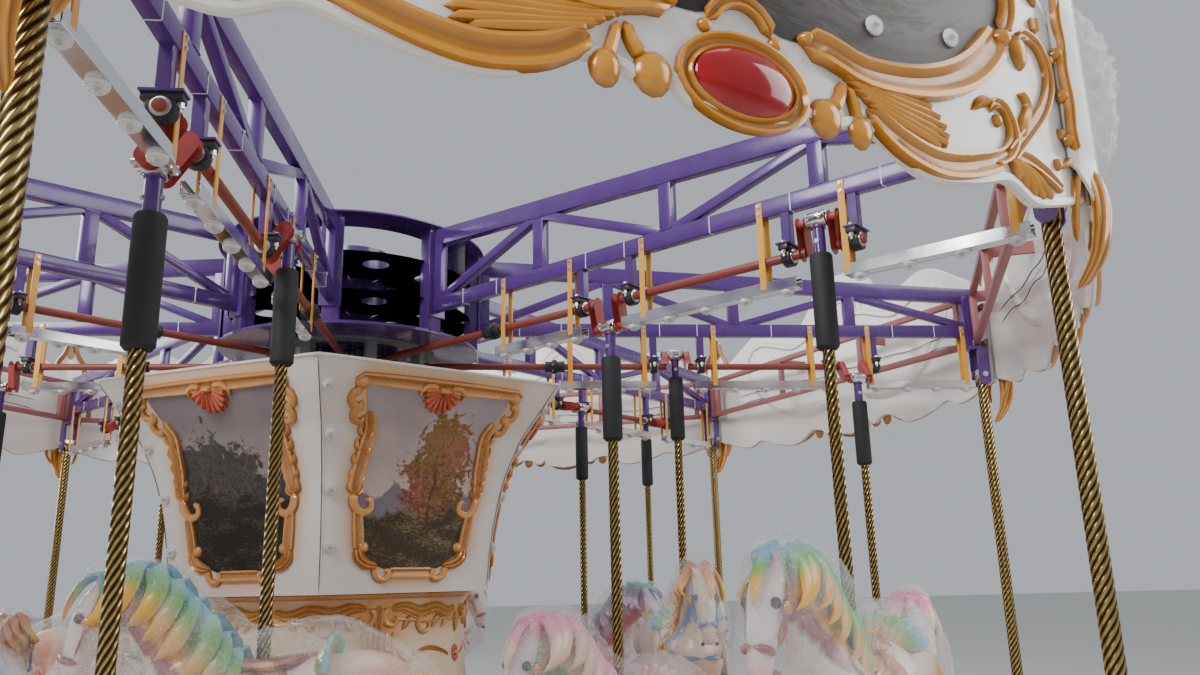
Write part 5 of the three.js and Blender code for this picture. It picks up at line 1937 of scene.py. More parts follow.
@dataclass
class Drum:
    """The white six-sided drum: halos, pictures in carved frames, shells, seams and lamps.

    The frames reach from `frame_low` to `frame_high`, and `opening` gives half their inner width at heights.
    The halo round a frame is orange up to `halo_start` and white after another `halo_width`.
    """

    sides: int = 6
    first_side: float = math.radians(-56.8)
    top: float = 2.692
    bottom: float = 1.6005
    wall: float = 0.014
    lamp_heights: tuple[float, ...] = (2.567, 2.352, 2.099, 1.825)
    lamp_inset: float = 0.042
    frame_low: float = 1.70
    frame_high: float = 2.62
    picture_span: Point = (1.702, 2.610)
    halo_start: float = 0.030
    halo_width: float = 0.080
    opening: tuple[Point, ...] = (
        (1.700, 0.100), (1.735, 0.190), (1.775, 0.262), (1.835, 0.292), (1.958, 0.306), (2.080, 0.340),
        (2.228, 0.340), (2.320, 0.333), (2.397, 0.330), (2.471, 0.368), (2.560, 0.405), (2.612, 0.400),
    )

    def build(self) -> None:
        """Cast the drum's shell, its frames, its pictures and its lamps."""
        face, wide = DrumFace(), DrumFace(shares=True)
        shell, frame, lamps = Mould(), Mould(0.018), Mould()
        shell.sheet(wide, lambda along: self.bottom, lambda along: self.top, -1.0, 1.0, HALO, 34, 24,
                    self.wall, shade_of=lambda along, up: self.halo(along * face.half(up), up))
        self.seam(shell, face)
        self.frame(Carver(frame, face, COPPER, 0.020))
        self.shell(frame, face)
        for up in self.lamp_heights:
            cap_lamp(lamps, facing(face, -face.half(up) + self.lamp_inset, up, 0.002))
        whole, lights = Mould(), Mould()
        turns = [Matrix.Rotation(self.first_side + i * math.pi / 3, 4, "Z") for i in range(self.sides)]
        whole.copy_round(shell, turns)
        self.rims(whole)
        lights.copy_round(lamps, turns)
        cast("drum_shell", whole.data("drum_shell"), "turning_frame", "white_moulding", ["upper_drum"])
        cast("drum_lamps", lights.data("drum_lamps"), "turning_frame", "clear_lamp")
        carved = frame.data("drum_frame")
        for i, turn in enumerate(turns):
            cast(f"drum_frame_{i + 1}", carved, "turning_frame", "white_moulding", place=turn)
            self.picture(i, turn)

    def side_line(self, up: float) -> float:
        """Half the width of the framed opening at a height."""
        return between(self.opening, up)

    def halo(self, across: float, up: float) -> float:
        """How white the shell is: it turns orange close to the frame."""
        beside = abs(abs(across) - self.side_line(up))
        if not self.frame_low < up < self.frame_high:
            over = min(abs(up - self.frame_low), abs(up - self.frame_high))
            beside = math.hypot(max(0.0, abs(across) - self.side_line(up)), over)
        return min(1.0, max(0.0, (beside - self.halo_start) / self.halo_width))

    def picture(self, number: int, turn: Matrix) -> None:
        """The print in one frame."""
        mould = Mould()
        low, high = self.picture_span
        mould.sheet(PictureFace(self.opening), lambda along: low, lambda along: high, -1.0, 1.0,
                    DUSK if number % 2 else MEADOW, 24, 30, lift=lambda along, up: 0.003)
        cast(f"drum_picture_{number + 1}", mould.data("drum_picture"), "turning_frame", "white_moulding",
             place=turn)

    def seam(self, mould: Mould, face: DrumFace) -> None:
        """The dark joint on a corner."""
        heights = [blend(self.bottom + 0.004, self.top - 0.004, i / 12) for i in range(13)]
        path = [face.at(-face.half(up), up, 0.001) for up in heights]
        mould.tube(path, [0.004], [0.004], CASTING, sides=6, spacing=0.05)

    def rims(self, mould: Mould) -> None:
        """The lip that turns in at the bottom and the rolled edge at the top."""
        start = self.first_side - math.pi / 6
        mould.lathe([(0.610, self.bottom), (0.944, self.bottom), (0.944, self.bottom + 0.016),
                     (0.610, self.bottom + 0.016), (0.610, self.bottom)], GELCOAT, 6, start=start)
        mould.lathe([(1.366, 2.676), (1.390, 2.684), (1.393, 2.692), (1.384, 2.6945), (1.366, 2.692),
                     (1.366, 2.676)], GELCOAT, 6, start=start)

    def frame(self, carver: Carver) -> None:
        """The carved frame of a picture, from its top bar down to its bottom bar."""
        carver.line([(-0.440, 2.606), (-0.390, 2.614), (0.390, 2.614), (0.440, 2.606)],
                    [0.050, 0.060, 0.060, 0.050], Section.TROUGH)
        carver.knobs((0.440, 2.592), (0.036, 0.034))
        carver.pair([(0.425, 2.566), (0.470, 2.540), (0.462, 2.498), (0.420, 2.490), (0.408, 2.518)],
                    [0.046, 0.046, 0.038, 0.030])
        carver.pair([(0.392, 2.500), (0.436, 2.470), (0.424, 2.426), (0.384, 2.424), (0.380, 2.452)],
                    [0.044, 0.044, 0.038, 0.030])
        carver.pair([(0.366, 2.478), (0.332, 2.400), (0.336, 2.320), (0.342, 2.228), (0.352, 2.140),
                     (0.345, 2.076)], [0.050, 0.064, 0.074, 0.078, 0.074, 0.060], Section.TROUGH, 0.026)
        for low in (2.350, 2.280, 2.210, 2.140, 2.080):
            carver.pair([(0.352, low), (0.378, low + 0.030), (0.384, low + 0.070)], [0.022, 0.034, 0.012],
                        Section.RIDGE, 0.030)
            carver.pair([(0.338, low - 0.010), (0.318, low + 0.016), (0.308, low + 0.050)],
                        [0.020, 0.028, 0.012], Section.RIDGE, 0.028)
        carver.pair([(0.352, 2.090), (0.342, 2.030), (0.300, 1.992), (0.254, 2.010), (0.256, 2.054),
                     (0.292, 2.058)], [0.058, 0.056, 0.048, 0.038, 0.032])
        carver.pair([(0.322, 2.020), (0.312, 1.940), (0.303, 1.880), (0.294, 1.800)], [0.050, 0.060, 0.058],
                    Section.TROUGH)
        carver.knobs((0.268, 1.824), (0.030, 0.030))
        carver.pair([(0.302, 1.830), (0.290, 1.778), (0.248, 1.744), (0.180, 1.732)],
                    [0.040, 0.064, 0.058, 0.024], Section.LEAF, 0.026)
        carver.pair([(0.205, 1.734), (0.184, 1.678), (0.136, 1.668), (0.120, 1.704), (0.148, 1.718)],
                    [0.044, 0.044, 0.036, 0.028])
        carver.line([(-0.135, 1.700), (0.135, 1.700)], [0.056], Section.TROUGH)

    def shell(self, mould: Mould, face: DrumFace) -> None:
        """The scallop shell that hangs from the top bar of a frame, with a scroll on either side."""
        carver = Carver(mould, face, ROSE, 0.034)
        for i in range(9):
            angle = math.radians(-80 + 20 * i)
            tip = (0.112 * math.sin(angle), 2.588 - 0.106 * math.cos(angle))
            carver.line([(0.020 * math.sin(angle), 2.594), tip], [0.014, 0.022, 0.032, 0.030], Section.ROUND)
        carver = Carver(mould, face, COPPER, 0.030)
        carver.pair([(0.030, 2.606), (0.090, 2.612), (0.124, 2.584), (0.112, 2.552)],
                    [0.030, 0.036, 0.032, 0.014], Section.ROUND)
        carver.line([(-0.040, 2.600), (0.040, 2.600)], [0.034], Section.ROUND, 0.040)


@dataclass(frozen=True)
class PictureFace:
    """The framed part of a side of the drum, with `along` from -1 to 1 between its frame's two sides."""

    opening: tuple[Point, ...]
    face: DrumFace = DrumFace()

    def at(self, along: float, up: float, proud: float) -> Vector:
        """The point at a place on the picture, raised off it."""
        return self.face.at(along * between(self.opening, up), up, proud)


@dataclass(frozen=True)
class CasingFace:
    """The round casing's skin. `along` is in metres at the waist and `up` is the height."""

    profile: tuple[Point, ...] = (
        (0.3005, 0.892), (0.400, 0.890), (0.500, 0.850), (0.620, 0.808), (0.800, 0.768), (1.000, 0.732),
        (1.200, 0.708), (1.350, 0.698), (1.450, 0.702), (1.540, 0.712), (1.600, 0.718),
    )
    waist: float = 0.705

    def at(self, along: float, up: float, proud: float) -> Vector:
        """The point at a place on the casing, raised off it."""
        angle = along / self.waist
        radius = between(self.profile, up) + proud
        return Vector((radius * math.cos(angle), radius * math.sin(angle), up))


@dataclass
class Casing:
    """The round cream casing: four panels with trims, swags, brackets and flowers under a brown cornice.

    A panel is airbrushed along the height of its `branch`, beside its `bracket` and along its `foot`.
    """

    panels: int = 4
    first_trim: float = math.radians(-65)
    wall: float = 0.012
    half_panel: float = 0.5537
    panel_span: Point = (0.400, 1.565)
    flower: float = 1.275
    branch: float = 1.495
    bracket: float = 0.500
    foot: float = 0.620
    golden_start: float = 0.015
    golden_width: float = 0.100

    def build(self) -> None:
        """Cast the casing and its ornament."""
        face = CasingFace()
        shell, panel = Mould(), Mould(0.024)
        outer = [(radius, up) for up, radius in face.profile]
        inner = [(radius - self.wall, up) for up, radius in reversed(face.profile)]
        shell.lathe([*outer, (0.560, 1.600), (0.560, 1.588), *inner[1:], outer[0]], CREAM, 96)
        shell.lathe([(0.712, 1.570), (0.730, 1.573), (0.742, 1.580), (0.742, 1.594), (0.735, 1.5995),
                     (0.700, 1.5995), (0.700, 1.570), (0.712, 1.570)], BRONZE, 96)
        shell.lathe([(0.890, 0.3008), (0.905, 0.3008), (0.905, 0.380), (0.896, 0.396), (0.880, 0.396),
                     (0.880, 0.3008), (0.890, 0.3008)], BRONZE, 96)
        low, high = self.panel_span
        panel.sheet(face, lambda along: low, lambda along: high, -self.half_panel, self.half_panel,
                    AIRBRUSH, 24, 18, lift=lambda along, up: 0.0025, shade_of=self.airbrush)
        self.swags(Carver(panel, face, BRONZE, 0.018))
        self.gilding(Carver(panel, face, COPPER, 0.012))
        self.trim(panel, face)
        places = [Matrix.Rotation(self.first_trim + (i + 0.5) * math.pi / 2, 4, "Z")
                  for i in range(self.panels)]
        cast("casing_shell", shell.data("casing_shell"), "turning_frame", "cream_moulding", ["lower_casing"])
        carved = panel.data("casing_panel")
        for i, place in enumerate(places):
            cast(f"casing_ornament_{i + 1}", carved, "turning_frame", "cream_moulding", place=place)

    def airbrush(self, along: float, up: float) -> float:
        """How creamy a panel is: it turns golden along its branch, its brackets and its foot."""
        nearest = min(abs(up - self.branch), abs(abs(along) - self.bracket), abs(up - self.foot))
        return min(1.0, max(0.0, (nearest - self.golden_start) / self.golden_width))

    def swags(self, carver: Carver) -> None:
        """Brown leaf scrolls under the cornice."""
        carver.pair([(0.020, 1.520), (0.110, 1.490), (0.210, 1.520), (0.320, 1.500), (0.420, 1.530),
                     (0.500, 1.520)], [0.040, 0.074, 0.064, 0.078, 0.064, 0.030], Section.LEAF)
        carver.pair([(0.500, 1.530), (0.530, 1.495), (0.515, 1.450), (0.470, 1.440), (0.456, 1.475),
                     (0.478, 1.490)], [0.034, 0.036, 0.034, 0.028, 0.022])
        carver.pair([(0.300, 1.500), (0.330, 1.440), (0.300, 1.400), (0.255, 1.410), (0.258, 1.445),
                     (0.284, 1.447)], [0.036, 0.034, 0.030, 0.026, 0.020])
        for root, tip in ((0.100, 0.160), (0.190, 0.235), (0.380, 0.430)):
            carver.pair([(root, 1.490), ((root + tip) / 2, 1.440), (tip, 1.410)], [0.030, 0.044, 0.012],
                        Section.RIDGE)
        carver.line([(0, 1.500), (0, 1.420), (0, 1.375)], [0.050, 0.060, 0.016], Section.LEAF)
        for up in (0.640, 0.560):
            carver.pair([(0.060, up), (0.240, up - 0.040), (0.420, up)], [0.018, 0.030, 0.018], Section.LEAF)

    def gilding(self, carver: Carver) -> None:
        """Gold ribbon, bracket lines, volutes and the flower of a panel."""
        carver.pair([(0.010, 1.470), (0.060, 1.452), (0.130, 1.462), (0.250, 1.448), (0.380, 1.462),
                     (0.500, 1.470)], [0.014, 0.018, 0.014])
        for inset, width in ((0.045, 0.024), (0.080, 0.012)):
            edge = self.half_panel - inset
            carver.pair([(edge, 1.420), (edge, 1.320), (edge - 0.045, 1.275), (edge - 0.045, 0.780),
                         (edge - 0.005, 0.735), (edge - 0.005, 0.660)], [width])
        carver.pair([(0.440, 1.300), (0.390, 1.262), (0.345, 1.278), (0.350, 1.312), (0.380, 1.306)],
                    [0.026, 0.026, 0.022, 0.016])
        carver.pair([(0.360, 1.290), (0.250, 1.318), (0.120, 1.290), (0.070, 1.262)], [0.020, 0.026, 0.014],
                    Section.LEAF)
        carver.pair([(0.440, 0.760), (0.390, 0.798), (0.345, 0.782), (0.350, 0.748), (0.380, 0.754)],
                    [0.026, 0.026, 0.022, 0.016])
        for i in range(8):
            angle = i * math.pi / 4
            petal = [(reach * math.cos(angle), self.flower + reach * math.sin(angle))
                     for reach in (0.010, 0.052)]
            carver.line(petal, [0.014, 0.034, 0.022], Section.ROUND, finish=ROSE)
        carver.mould.dome(carver.surface, (0.0, self.flower), (0.018, 0.018), 0.020, COPPER)

    def trim(self, mould: Mould, face: CasingFace) -> None:
        """The upright moulding on the joint between two panels."""
        path = [(-self.half_panel, up) for up in (0.400, 0.620, 0.900, 1.200, 1.400, 1.545)]
        mould.stroke(face, path, [0.046], 0.018, BRONZE, Section.TROUGH)


# Horses


def spot(forward: float, up: float, side: float = 0.0) -> Place:
    """A place on a horse: forward of its pole, above the floor and sideways, from its crank pin."""
    return side, -forward, up - RIDE.crank_z


@dataclass(frozen=True)
class Palette:
    """The airbrushed colours of one horse; the fan's run from its edge to its root."""

    body: Colour
    blush: Colour
    rump: Colour
    hair: tuple[Colour, Colour, Colour]
    tack: tuple[Colour, Colour]
    fan: tuple[Colour, Colour, Colour]
    hoof: Colour = (0.60, 0.36, 0.10)


PALETTES = (
    Palette((0.88, 0.79, 0.76), (0.88, 0.28, 0.34), (0.90, 0.30, 0.12),
            ((0.03, 0.34, 0.50), (0.11, 0.44, 0.08), (0.90, 0.50, 0.06)),
            ((0.32, 0.05, 0.04), (0.86, 0.42, 0.07)),
            ((0.30, 0.62, 0.82), (0.14, 0.50, 0.12), (0.92, 0.48, 0.05))),
    Palette((0.88, 0.75, 0.80), (0.88, 0.30, 0.46), (0.86, 0.32, 0.52),
            ((0.80, 0.13, 0.32), (0.90, 0.36, 0.48), (0.92, 0.68, 0.50)),
            ((0.10, 0.42, 0.14), (0.88, 0.58, 0.08)),
            ((0.20, 0.68, 0.44), (0.90, 0.36, 0.52), (0.94, 0.66, 0.32))),
    Palette((0.88, 0.80, 0.68), (0.88, 0.42, 0.22), (0.84, 0.42, 0.14),
            ((0.54, 0.15, 0.02), (0.78, 0.32, 0.05), (0.90, 0.58, 0.16)),
            ((0.06, 0.20, 0.52), (0.86, 0.36, 0.05)),
            ((0.16, 0.44, 0.80), (0.16, 0.52, 0.30), (0.92, 0.60, 0.12))),
    Palette((0.84, 0.79, 0.87), (0.66, 0.32, 0.76), (0.44, 0.28, 0.78),
            ((0.05, 0.44, 0.38), (0.26, 0.17, 0.36), (0.60, 0.44, 0.68)),
            ((0.66, 0.04, 0.12), (0.88, 0.52, 0.10)),
            ((0.16, 0.56, 0.70), (0.44, 0.20, 0.70), (0.90, 0.38, 0.46))),
)


@dataclass
class HorseShape:
    """A leaping horse: body, mane, tail, saddle and harness, all round the pole."""

    voxel: float = 0.0300
    smoothing: int = 1
    trunk: Spine = (
        (-0.570, 1.140, 0.20, 0.22), (-0.440, 1.152, 0.30, 0.32), (-0.300, 1.140, 0.33, 0.34),
        (-0.100, 1.108, 0.31, 0.31), (0.100, 1.100, 0.31, 0.31), (0.270, 1.120, 0.33, 0.36),
        (0.440, 1.150, 0.25, 0.28),
    )
    neck: Spine = (
        (0.160, 1.090, 0.24, 0.38), (0.250, 1.245, 0.21, 0.31), (0.345, 1.385, 0.165, 0.245),
        (0.440, 1.490, 0.135, 0.200), (0.530, 1.530, 0.110, 0.160),
    )
    head: Spine = (
        (0.480, 1.535, 0.105, 0.130), (0.580, 1.480, 0.135, 0.180), (0.632, 1.370, 0.115, 0.150),
        (0.662, 1.265, 0.088, 0.108), (0.678, 1.185, 0.086, 0.095),
    )
    foreleg: Spine = (
        (0.235, 1.120, 0.13, 0.20), (0.320, 0.985, 0.105, 0.130), (0.418, 0.868, 0.078, 0.085),
        (0.418, 0.780, 0.054, 0.056), (0.385, 0.708, 0.056, 0.058), (0.392, 0.650, 0.075, 0.080),
    )
    hindleg: Spine = (
        (-0.350, 1.140, 0.17, 0.28), (-0.385, 0.990, 0.140, 0.215), (-0.470, 0.870, 0.092, 0.110),
        (-0.512, 0.800, 0.074, 0.080), (-0.482, 0.700, 0.054, 0.058), (-0.470, 0.600, 0.058, 0.060),
        (-0.478, 0.535, 0.078, 0.084),
    )
    ear: Spine = (
        (0.570, 1.540, 0.050, 0.050), (0.582, 1.590, 0.054, 0.042), (0.588, 1.650, 0.016, 0.016),
    )
    mane_mass: Spine = (
        (0.610, 1.565, 0.060, 0.070), (0.540, 1.580, 0.090, 0.120), (0.440, 1.555, 0.125, 0.165),
        (0.340, 1.478, 0.140, 0.190), (0.250, 1.385, 0.140, 0.180), (0.150, 1.290, 0.110, 0.130),
    )

    def limb(self, mould: Mould, spine: Spine, side: float = 0.0,
             splay: float = 0.0) -> None:
        """One rounded limb along places of (forward, up, width, depth).

        Args:
            mould: The mesh being shaped.
            spine: Its places.
            side: How far to the side it starts.
            splay: How much further out it ends.
        """
        last = len(spine) - 1
        path = [spot(forward, up, side + splay * i / last) for i, (forward, up, _, _) in enumerate(spine)]
        mould.tube(path, [w for *_, w, _ in spine], [d for *_, d in spine], HORSE, side=(1, 0, 0),
                   sides=16, spacing=0.03)

    def body(self) -> Mould:
        """The fused body, neck, head, legs and ears."""
        rough = Mould()
        for spine in (self.trunk, self.neck, self.head, self.mane_mass):
            self.limb(rough, spine)
        for side in (-1, 1):
            self.limb(rough, self.foreleg, side * 0.075, side * 0.012)
            self.limb(rough, self.hindleg, side * 0.080, side * 0.010)
            self.limb(rough, self.ear, side * 0.040, side * 0.018)
            cheek = [spot(0.555, 1.485, side * 0.030), spot(0.605, 1.400, side * 0.038)]
            rough.tube(cheek, [0.070, 0.060], [0.150, 0.110], HORSE, side=(1, 0, 0), sides=14)
            shoulder = [spot(0.200, 1.220, side * 0.070), spot(0.290, 1.020, side * 0.082)]
            rough.tube(shoulder, [0.150, 0.130], [0.240, 0.200], HORSE, side=(1, 0, 0), sides=14)
        return fused(rough, self.voxel, self.smoothing, HORSE)

    def details(self, mould: Mould) -> None:
        """Mane, tail, saddle, harness, eyes and nostrils."""
        self.mane(mould)
        self.tail(mould)
        self.saddle(mould)
        self.harness(mould)
        for side in (-1, 1):
            self.bead(mould, spot(0.637, 1.445, side * 0.054), 0.019)
            self.bead(mould, spot(0.692, 1.212, side * 0.038), 0.011)

    def bead(self, mould: Mould, place: Place, radius: float) -> None:
        """A dark ball: an eye or a nostril."""
        ball, _ = mould.part()
        bmesh.ops.create_uvsphere(ball, u_segments=12, v_segments=8, radius=radius)
        mould.add(ball, CASTING, place=Matrix.Translation(place))

    def mane(self, mould: Mould) -> None:
        """Curling locks along the crest of the neck, which fall to both sides."""
        crest = [(0.560, 1.585), (0.500, 1.600), (0.430, 1.580), (0.360, 1.530), (0.295, 1.465),
                 (0.235, 1.400), (0.180, 1.340), (0.130, 1.285)]
        for i, (forward, up) in enumerate(crest):
            for side, size in ((1, 1.0), (-1, 0.8)):
                sway = 0.018 * math.sin(i * 2.1)
                path = [spot(forward + 0.020, up - 0.030, side * 0.012),
                        spot(forward - 0.030, up + 0.030, side * 0.045),
                        spot(forward - 0.050 + sway, up - 0.040, side * 0.098 * size),
                        spot(forward - 0.015 + sway, up - 0.125 * size, side * 0.116),
                        spot(forward + 0.040 + sway, up - 0.165 * size, side * 0.104)]
                mould.tube(path, [0.046, 0.080, 0.092, 0.070, 0.020], [0.034, 0.036, 0.034, 0.028, 0.012],
                           HAIR, side=(0, 1, 0.3), sides=9, flutes=3, spacing=0.032)
        forelock = [spot(0.560, 1.595), spot(0.635, 1.585, 0.012), spot(0.690, 1.505, 0.020),
                    spot(0.714, 1.430, 0.010)]
        mould.tube(forelock, [0.040, 0.060, 0.050, 0.014], [0.030, 0.034, 0.030, 0.012], HAIR, side=(1, 0, 0),
                   sides=12, flutes=4, spacing=0.030)

    def tail(self, mould: Mould) -> None:
        """Locks that curl down behind."""
        for i in range(5):
            side = 0.030 * (i - 2)
            reach = 0.020 * math.cos(i * 1.7)
            path = [spot(-0.520, 1.215, side * 0.3), spot(-0.590, 1.200, side * 0.6),
                    spot(-0.636 + reach * 0.5, 1.090, side), spot(-0.625 + reach, 0.960, side * 1.3),
                    spot(-0.590 + reach, 0.860 + 0.02 * i, side * 1.5)]
            mould.tube(path, [0.040, 0.060, 0.074, 0.062, 0.018], [0.040, 0.050, 0.054, 0.044, 0.014], HAIR,
                       side=(1, 0, 0), sides=10, flutes=3, spacing=0.040)

    def saddle(self, mould: Mould) -> None:
        """The blanket, the seat and the scalloped fan behind it."""
        mould.tube([spot(-0.250, 1.100), spot(0.0, 1.096), spot(0.235, 1.100)], [0.345], [0.350], TACK,
                   side=(1, 0, 0), sides=20, spacing=0.060)
        mould.tube([spot(-0.170, 1.290), spot(-0.060, 1.268), spot(0.070, 1.268), spot(0.160, 1.300)],
                   [0.19, 0.24, 0.20, 0.10], [0.060, 0.052, 0.052, 0.070], TACK, side=(1, 0, 0), sides=14,
                   spacing=0.030)
        for i in range(9):
            angle = math.radians(-76 + 19 * i)
            root = spot(-0.185, 1.235 + 0.02 * math.cos(angle), 0.060 * math.sin(angle))
            tip = spot(-0.272, 1.250 + 0.140 * math.cos(angle), 0.190 * math.sin(angle))
            mould.tube([root, tip], [0.022, 0.050, 0.066, 0.060], [0.016, 0.022, 0.024, 0.020], TACK,
                       side=(math.cos(angle), 0, -math.sin(angle)), sides=10, spacing=0.030)

    def harness(self, mould: Mould) -> None:
        """The breast strap, bridle and girth as raised bands."""
        bands = (
            [spot(0.020, 1.250, 0.165), spot(0.250, 1.180, 0.182), spot(0.420, 1.130, 0.120),
             spot(0.462, 1.120, 0.0)],
            [spot(0.550, 1.570, 0.045), spot(0.598, 1.430, 0.072), spot(0.642, 1.305, 0.056)],
            [spot(0.712, 1.318, 0.0), spot(0.690, 1.308, 0.048), spot(0.628, 1.288, 0.042)],
        )
        for band in bands:
            for side in (-1, 1):
                mould.tube([(side * x, y, z) for x, y, z in band], [0.026], [0.012], TACK, side=(0, 0.3, 1),
                           sides=6, spacing=0.040)
        for forward, up, side in ((0.420, 1.130, 0.124), (0.598, 1.430, 0.074), (0.250, 1.180, 0.186)):
            for sign in (-1, 1):
                mould.lathe([(0.0, 0.0), (0.024, 0.0), (0.022, 0.008), (0.010, 0.014), (0.0, 0.014)], GOLD,
                            12, Matrix.Translation(spot(forward, up, sign * side))
                            @ Matrix.Rotation(sign * math.pi / 2, 4, "Y"))


def fused(rough: Mould, voxel: float, smoothing: int, finish: Finish) -> Mould:
    """Run the parts of a mould together into one smooth skin.

    Args:
        rough: The overlapping parts.
        voxel: The size of the skin's faces.
        smoothing: How often it is smoothed.
        finish: The skin's finish.

    Returns:
        A mould with the skin.
    """
    holder = bpy.data.objects.new("rough", rough.data("rough"))
    bpy.context.scene.collection.objects.link(holder)
    remesh = holder.modifiers.new("fuse", "REMESH")
    remesh.mode, remesh.voxel_size = "VOXEL", voxel
    skin = bpy.data.meshes.new_from_object(holder.evaluated_get(bpy.context.evaluated_depsgraph_get()))
    bpy.data.objects.remove(holder)
    made = Mould()
    part, _ = made.part()
    part.from_mesh(skin)
    bpy.data.meshes.remove(skin)
    for _ in range(smoothing):
        bmesh.ops.smooth_vert(part, verts=part.verts, factor=0.5, use_axis_x=True, use_axis_y=True,
                              use_axis_z=True)
    made.add(part, finish)
    return made


@dataclass
class Gear:
    """What carries a horse: the split crank housing, its tube, the black sleeve and the twisted pole."""

    half_length: float = 0.043
    ring: float = 0.036
    tube: float = 0.025
    sleeve: float = 0.046
    sleeve_top: float = -0.148
    sleeve_end: float = -0.543
    pole_end: float = 0.135

    def build(self) -> tuple[bpy.types.Mesh, bpy.types.Mesh]:
        """The meshes of the fittings and of the pole."""
        mould, pole = Mould(), Mould()
        half, ring = self.half_length, self.ring
        mould.rod((-half, 0, 0), (half, 0, 0), ring, CHROME, sides=32, bevel=0.004)
        mould.box((-half + 0.002, -0.058, -0.007), (half - 0.002, 0.058, 0.007), CHROME, 0.003, 2)
        for x in (-0.026, 0.026):
            for y in (-0.047, 0.047):
                mould.bolt((x, y, 0.007), (0, 0, 1), 0.0075)
                mould.bolt((x, y, -0.007), (0, 0, -1), 0.0075)
        for side in (-1, 1):
            mould.rod((side * half, 0, 0), (side * (half + 0.004), 0, 0), 0.022, ZINC, sides=20)
        mould.rod((0, 0, self.sleeve_top + 0.004), (0, 0, -ring + 0.006), self.tube, PURPLE, sides=24)
        mould.rod((0, 0, -ring - 0.002), (0, 0, -ring + 0.010), self.tube + 0.006, PURPLE, sides=24,
                  bevel=0.002)
        mould.bolt((0, -self.tube, -0.095), (0, -1, 0), 0.008)
        mould.bolt((0, self.tube, -0.095), (0, 1, 0), 0.008)
        mould.lathe([(0.0, self.sleeve_end), (self.sleeve - 0.010, self.sleeve_end),
                     (self.sleeve, self.sleeve_end + 0.012), (self.sleeve, self.sleeve_top - 0.010),
                     (self.sleeve - 0.006, self.sleeve_top), (0.0, self.sleeve_top)], RUBBER, 36)
        low = self.pole_end - RIDE.crank_z
        HORSE_TWIST.tube(pole, low + 0.012, self.sleeve_end + 0.020)
        pole.lathe([(0.0, low), (0.019, low), (0.024, low + 0.006), (0.024, low + 0.014), (0.0, low + 0.014)],
                   BRASS, 20)
        return mould.data("gear"), pole.data("horse_pole")


@dataclass
class Film:
    """Clear bubble film thrown over a horse and tied in at its pole."""

    voxel: float = 0.032
    hem: float = 1.000
    hood: tuple[Place, ...] = (
        (0.735, 1.160, 0.060), (0.742, 1.330, 0.075), (0.718, 1.480, 0.075), (0.635, 1.650, 0.060),
        (0.500, 1.690, 0.080), (0.330, 1.630, 0.120), (0.140, 1.460, 0.160), (0.040, 1.380, 0.170),
        (0.340, 0.980, 0.200), (0.540, 1.000, 0.130), (0.700, 1.080, 0.080),
    )
    cloak: tuple[Place, ...] = (
        (0.200, 1.370, 0.150), (0.000, 1.370, 0.130), (-0.280, 1.440, 0.110), (-0.320, 1.360, 0.220),
        (-0.590, 1.290, 0.120), (-0.690, 1.150, 0.080), (-0.680, 0.900, 0.100), (-0.630, 0.840, 0.150),
        (-0.300, 0.920, 0.225), (0.360, 0.900, 0.205), (0.440, 1.150, 0.170), (-0.380, 1.250, 0.235),
    )

    def build(self) -> Mould:
        """The smooth film before its folds."""
        rough = Mould()
        for corners in (self.hood, self.cloak):
            part, _ = rough.part()
            for forward, up, side in corners:
                for sign in (-1, 1):
                    part.verts.new(spot(forward, up, sign * side))
            hull = bmesh.ops.convex_hull(part, input=part.verts[:])
            bmesh.ops.delete(part, geom=only_verts(hull["geom_interior"]), context="VERTS")
            rough.add(part, FILM)
        made = fused(rough, self.voxel, 3, FILM)
        under = [vert for vert in made.mesh.verts
                 if vert.co.z + RIDE.crank_z < self.hem + 0.06 * noise.noise(vert.co * 5)]
        bmesh.ops.delete(made.mesh, geom=under, context="VERTS")
        return made

    def crumple(self, mesh: bpy.types.Mesh, seed: float) -> None:
        """Pull the film into folds that run towards the pole."""
        for vert in mesh.vertices:
            place = vert.co
            angle = math.atan2(place.y, place.x)
            folds = noise.noise(Vector((angle * 3.0, place.z * 1.1, seed)))
            creases = abs(noise.noise(Vector((angle * 6.5, place.z * 1.4 + seed, seed * 2))))
            fine = noise.noise(place * 18 + Vector((seed, 0, 0)))
            vert.co = place + vert.normal * (0.020 * folds - 0.030 * creases + 0.002 * fine)


@dataclass
class Horses:
    """The sixteen horses with their gear, paint and film."""

    joints: Sequence[dict]
    flat_film: Point = (1.2, 1.6)

    def build(self) -> None:
        """Cast every horse at its crank pin."""
        shape = HorseShape()
        whole = Mould()
        whole.copy_round(shape.body(), [Matrix()])
        shape.details(whole)
        horse = whole.data("horse")
        gear, pole = Gear().build()
        covering = Film()
        film = covering.build().data("film")
        pins = {joint["child"]: Vector(joint["pos_m"]) for joint in self.joints}
        for n in RIDE.numbers:
            for row in RIDE.rows:
                body = f"horse_{row}_{n}"
                place = Matrix.Translation(pins[body]) @ RIDE.sweep(n)
                palette = PALETTES[(n + (1 if row == "inner" else 0)) % len(PALETTES)]
                cast(f"{body}_fittings", gear, body, "sleeve_rubber", [body], place)
                cast(f"{body}_pole", pole, body, "twisted_brass", place=place)
                painted = horse.copy()
                Coat(painted, palette).paint(painted)
                painted.transform(place)
                cast(f"{body}_body", painted, body, "horse_paint")
                wrap = film.copy()
                covering.crumple(wrap, n * 1.7 + (0.6 if row == "inner" else 0.0))
                wrap.transform(place)
                sheet = cast(f"{body}_film", wrap, body, "bubble_film")


CREST_LINE = ((0.600, 1.600), (0.500, 1.640), (0.430, 1.635), (0.330, 1.575), (0.240, 1.480), (0.150, 1.370),
              (0.080, 1.290))


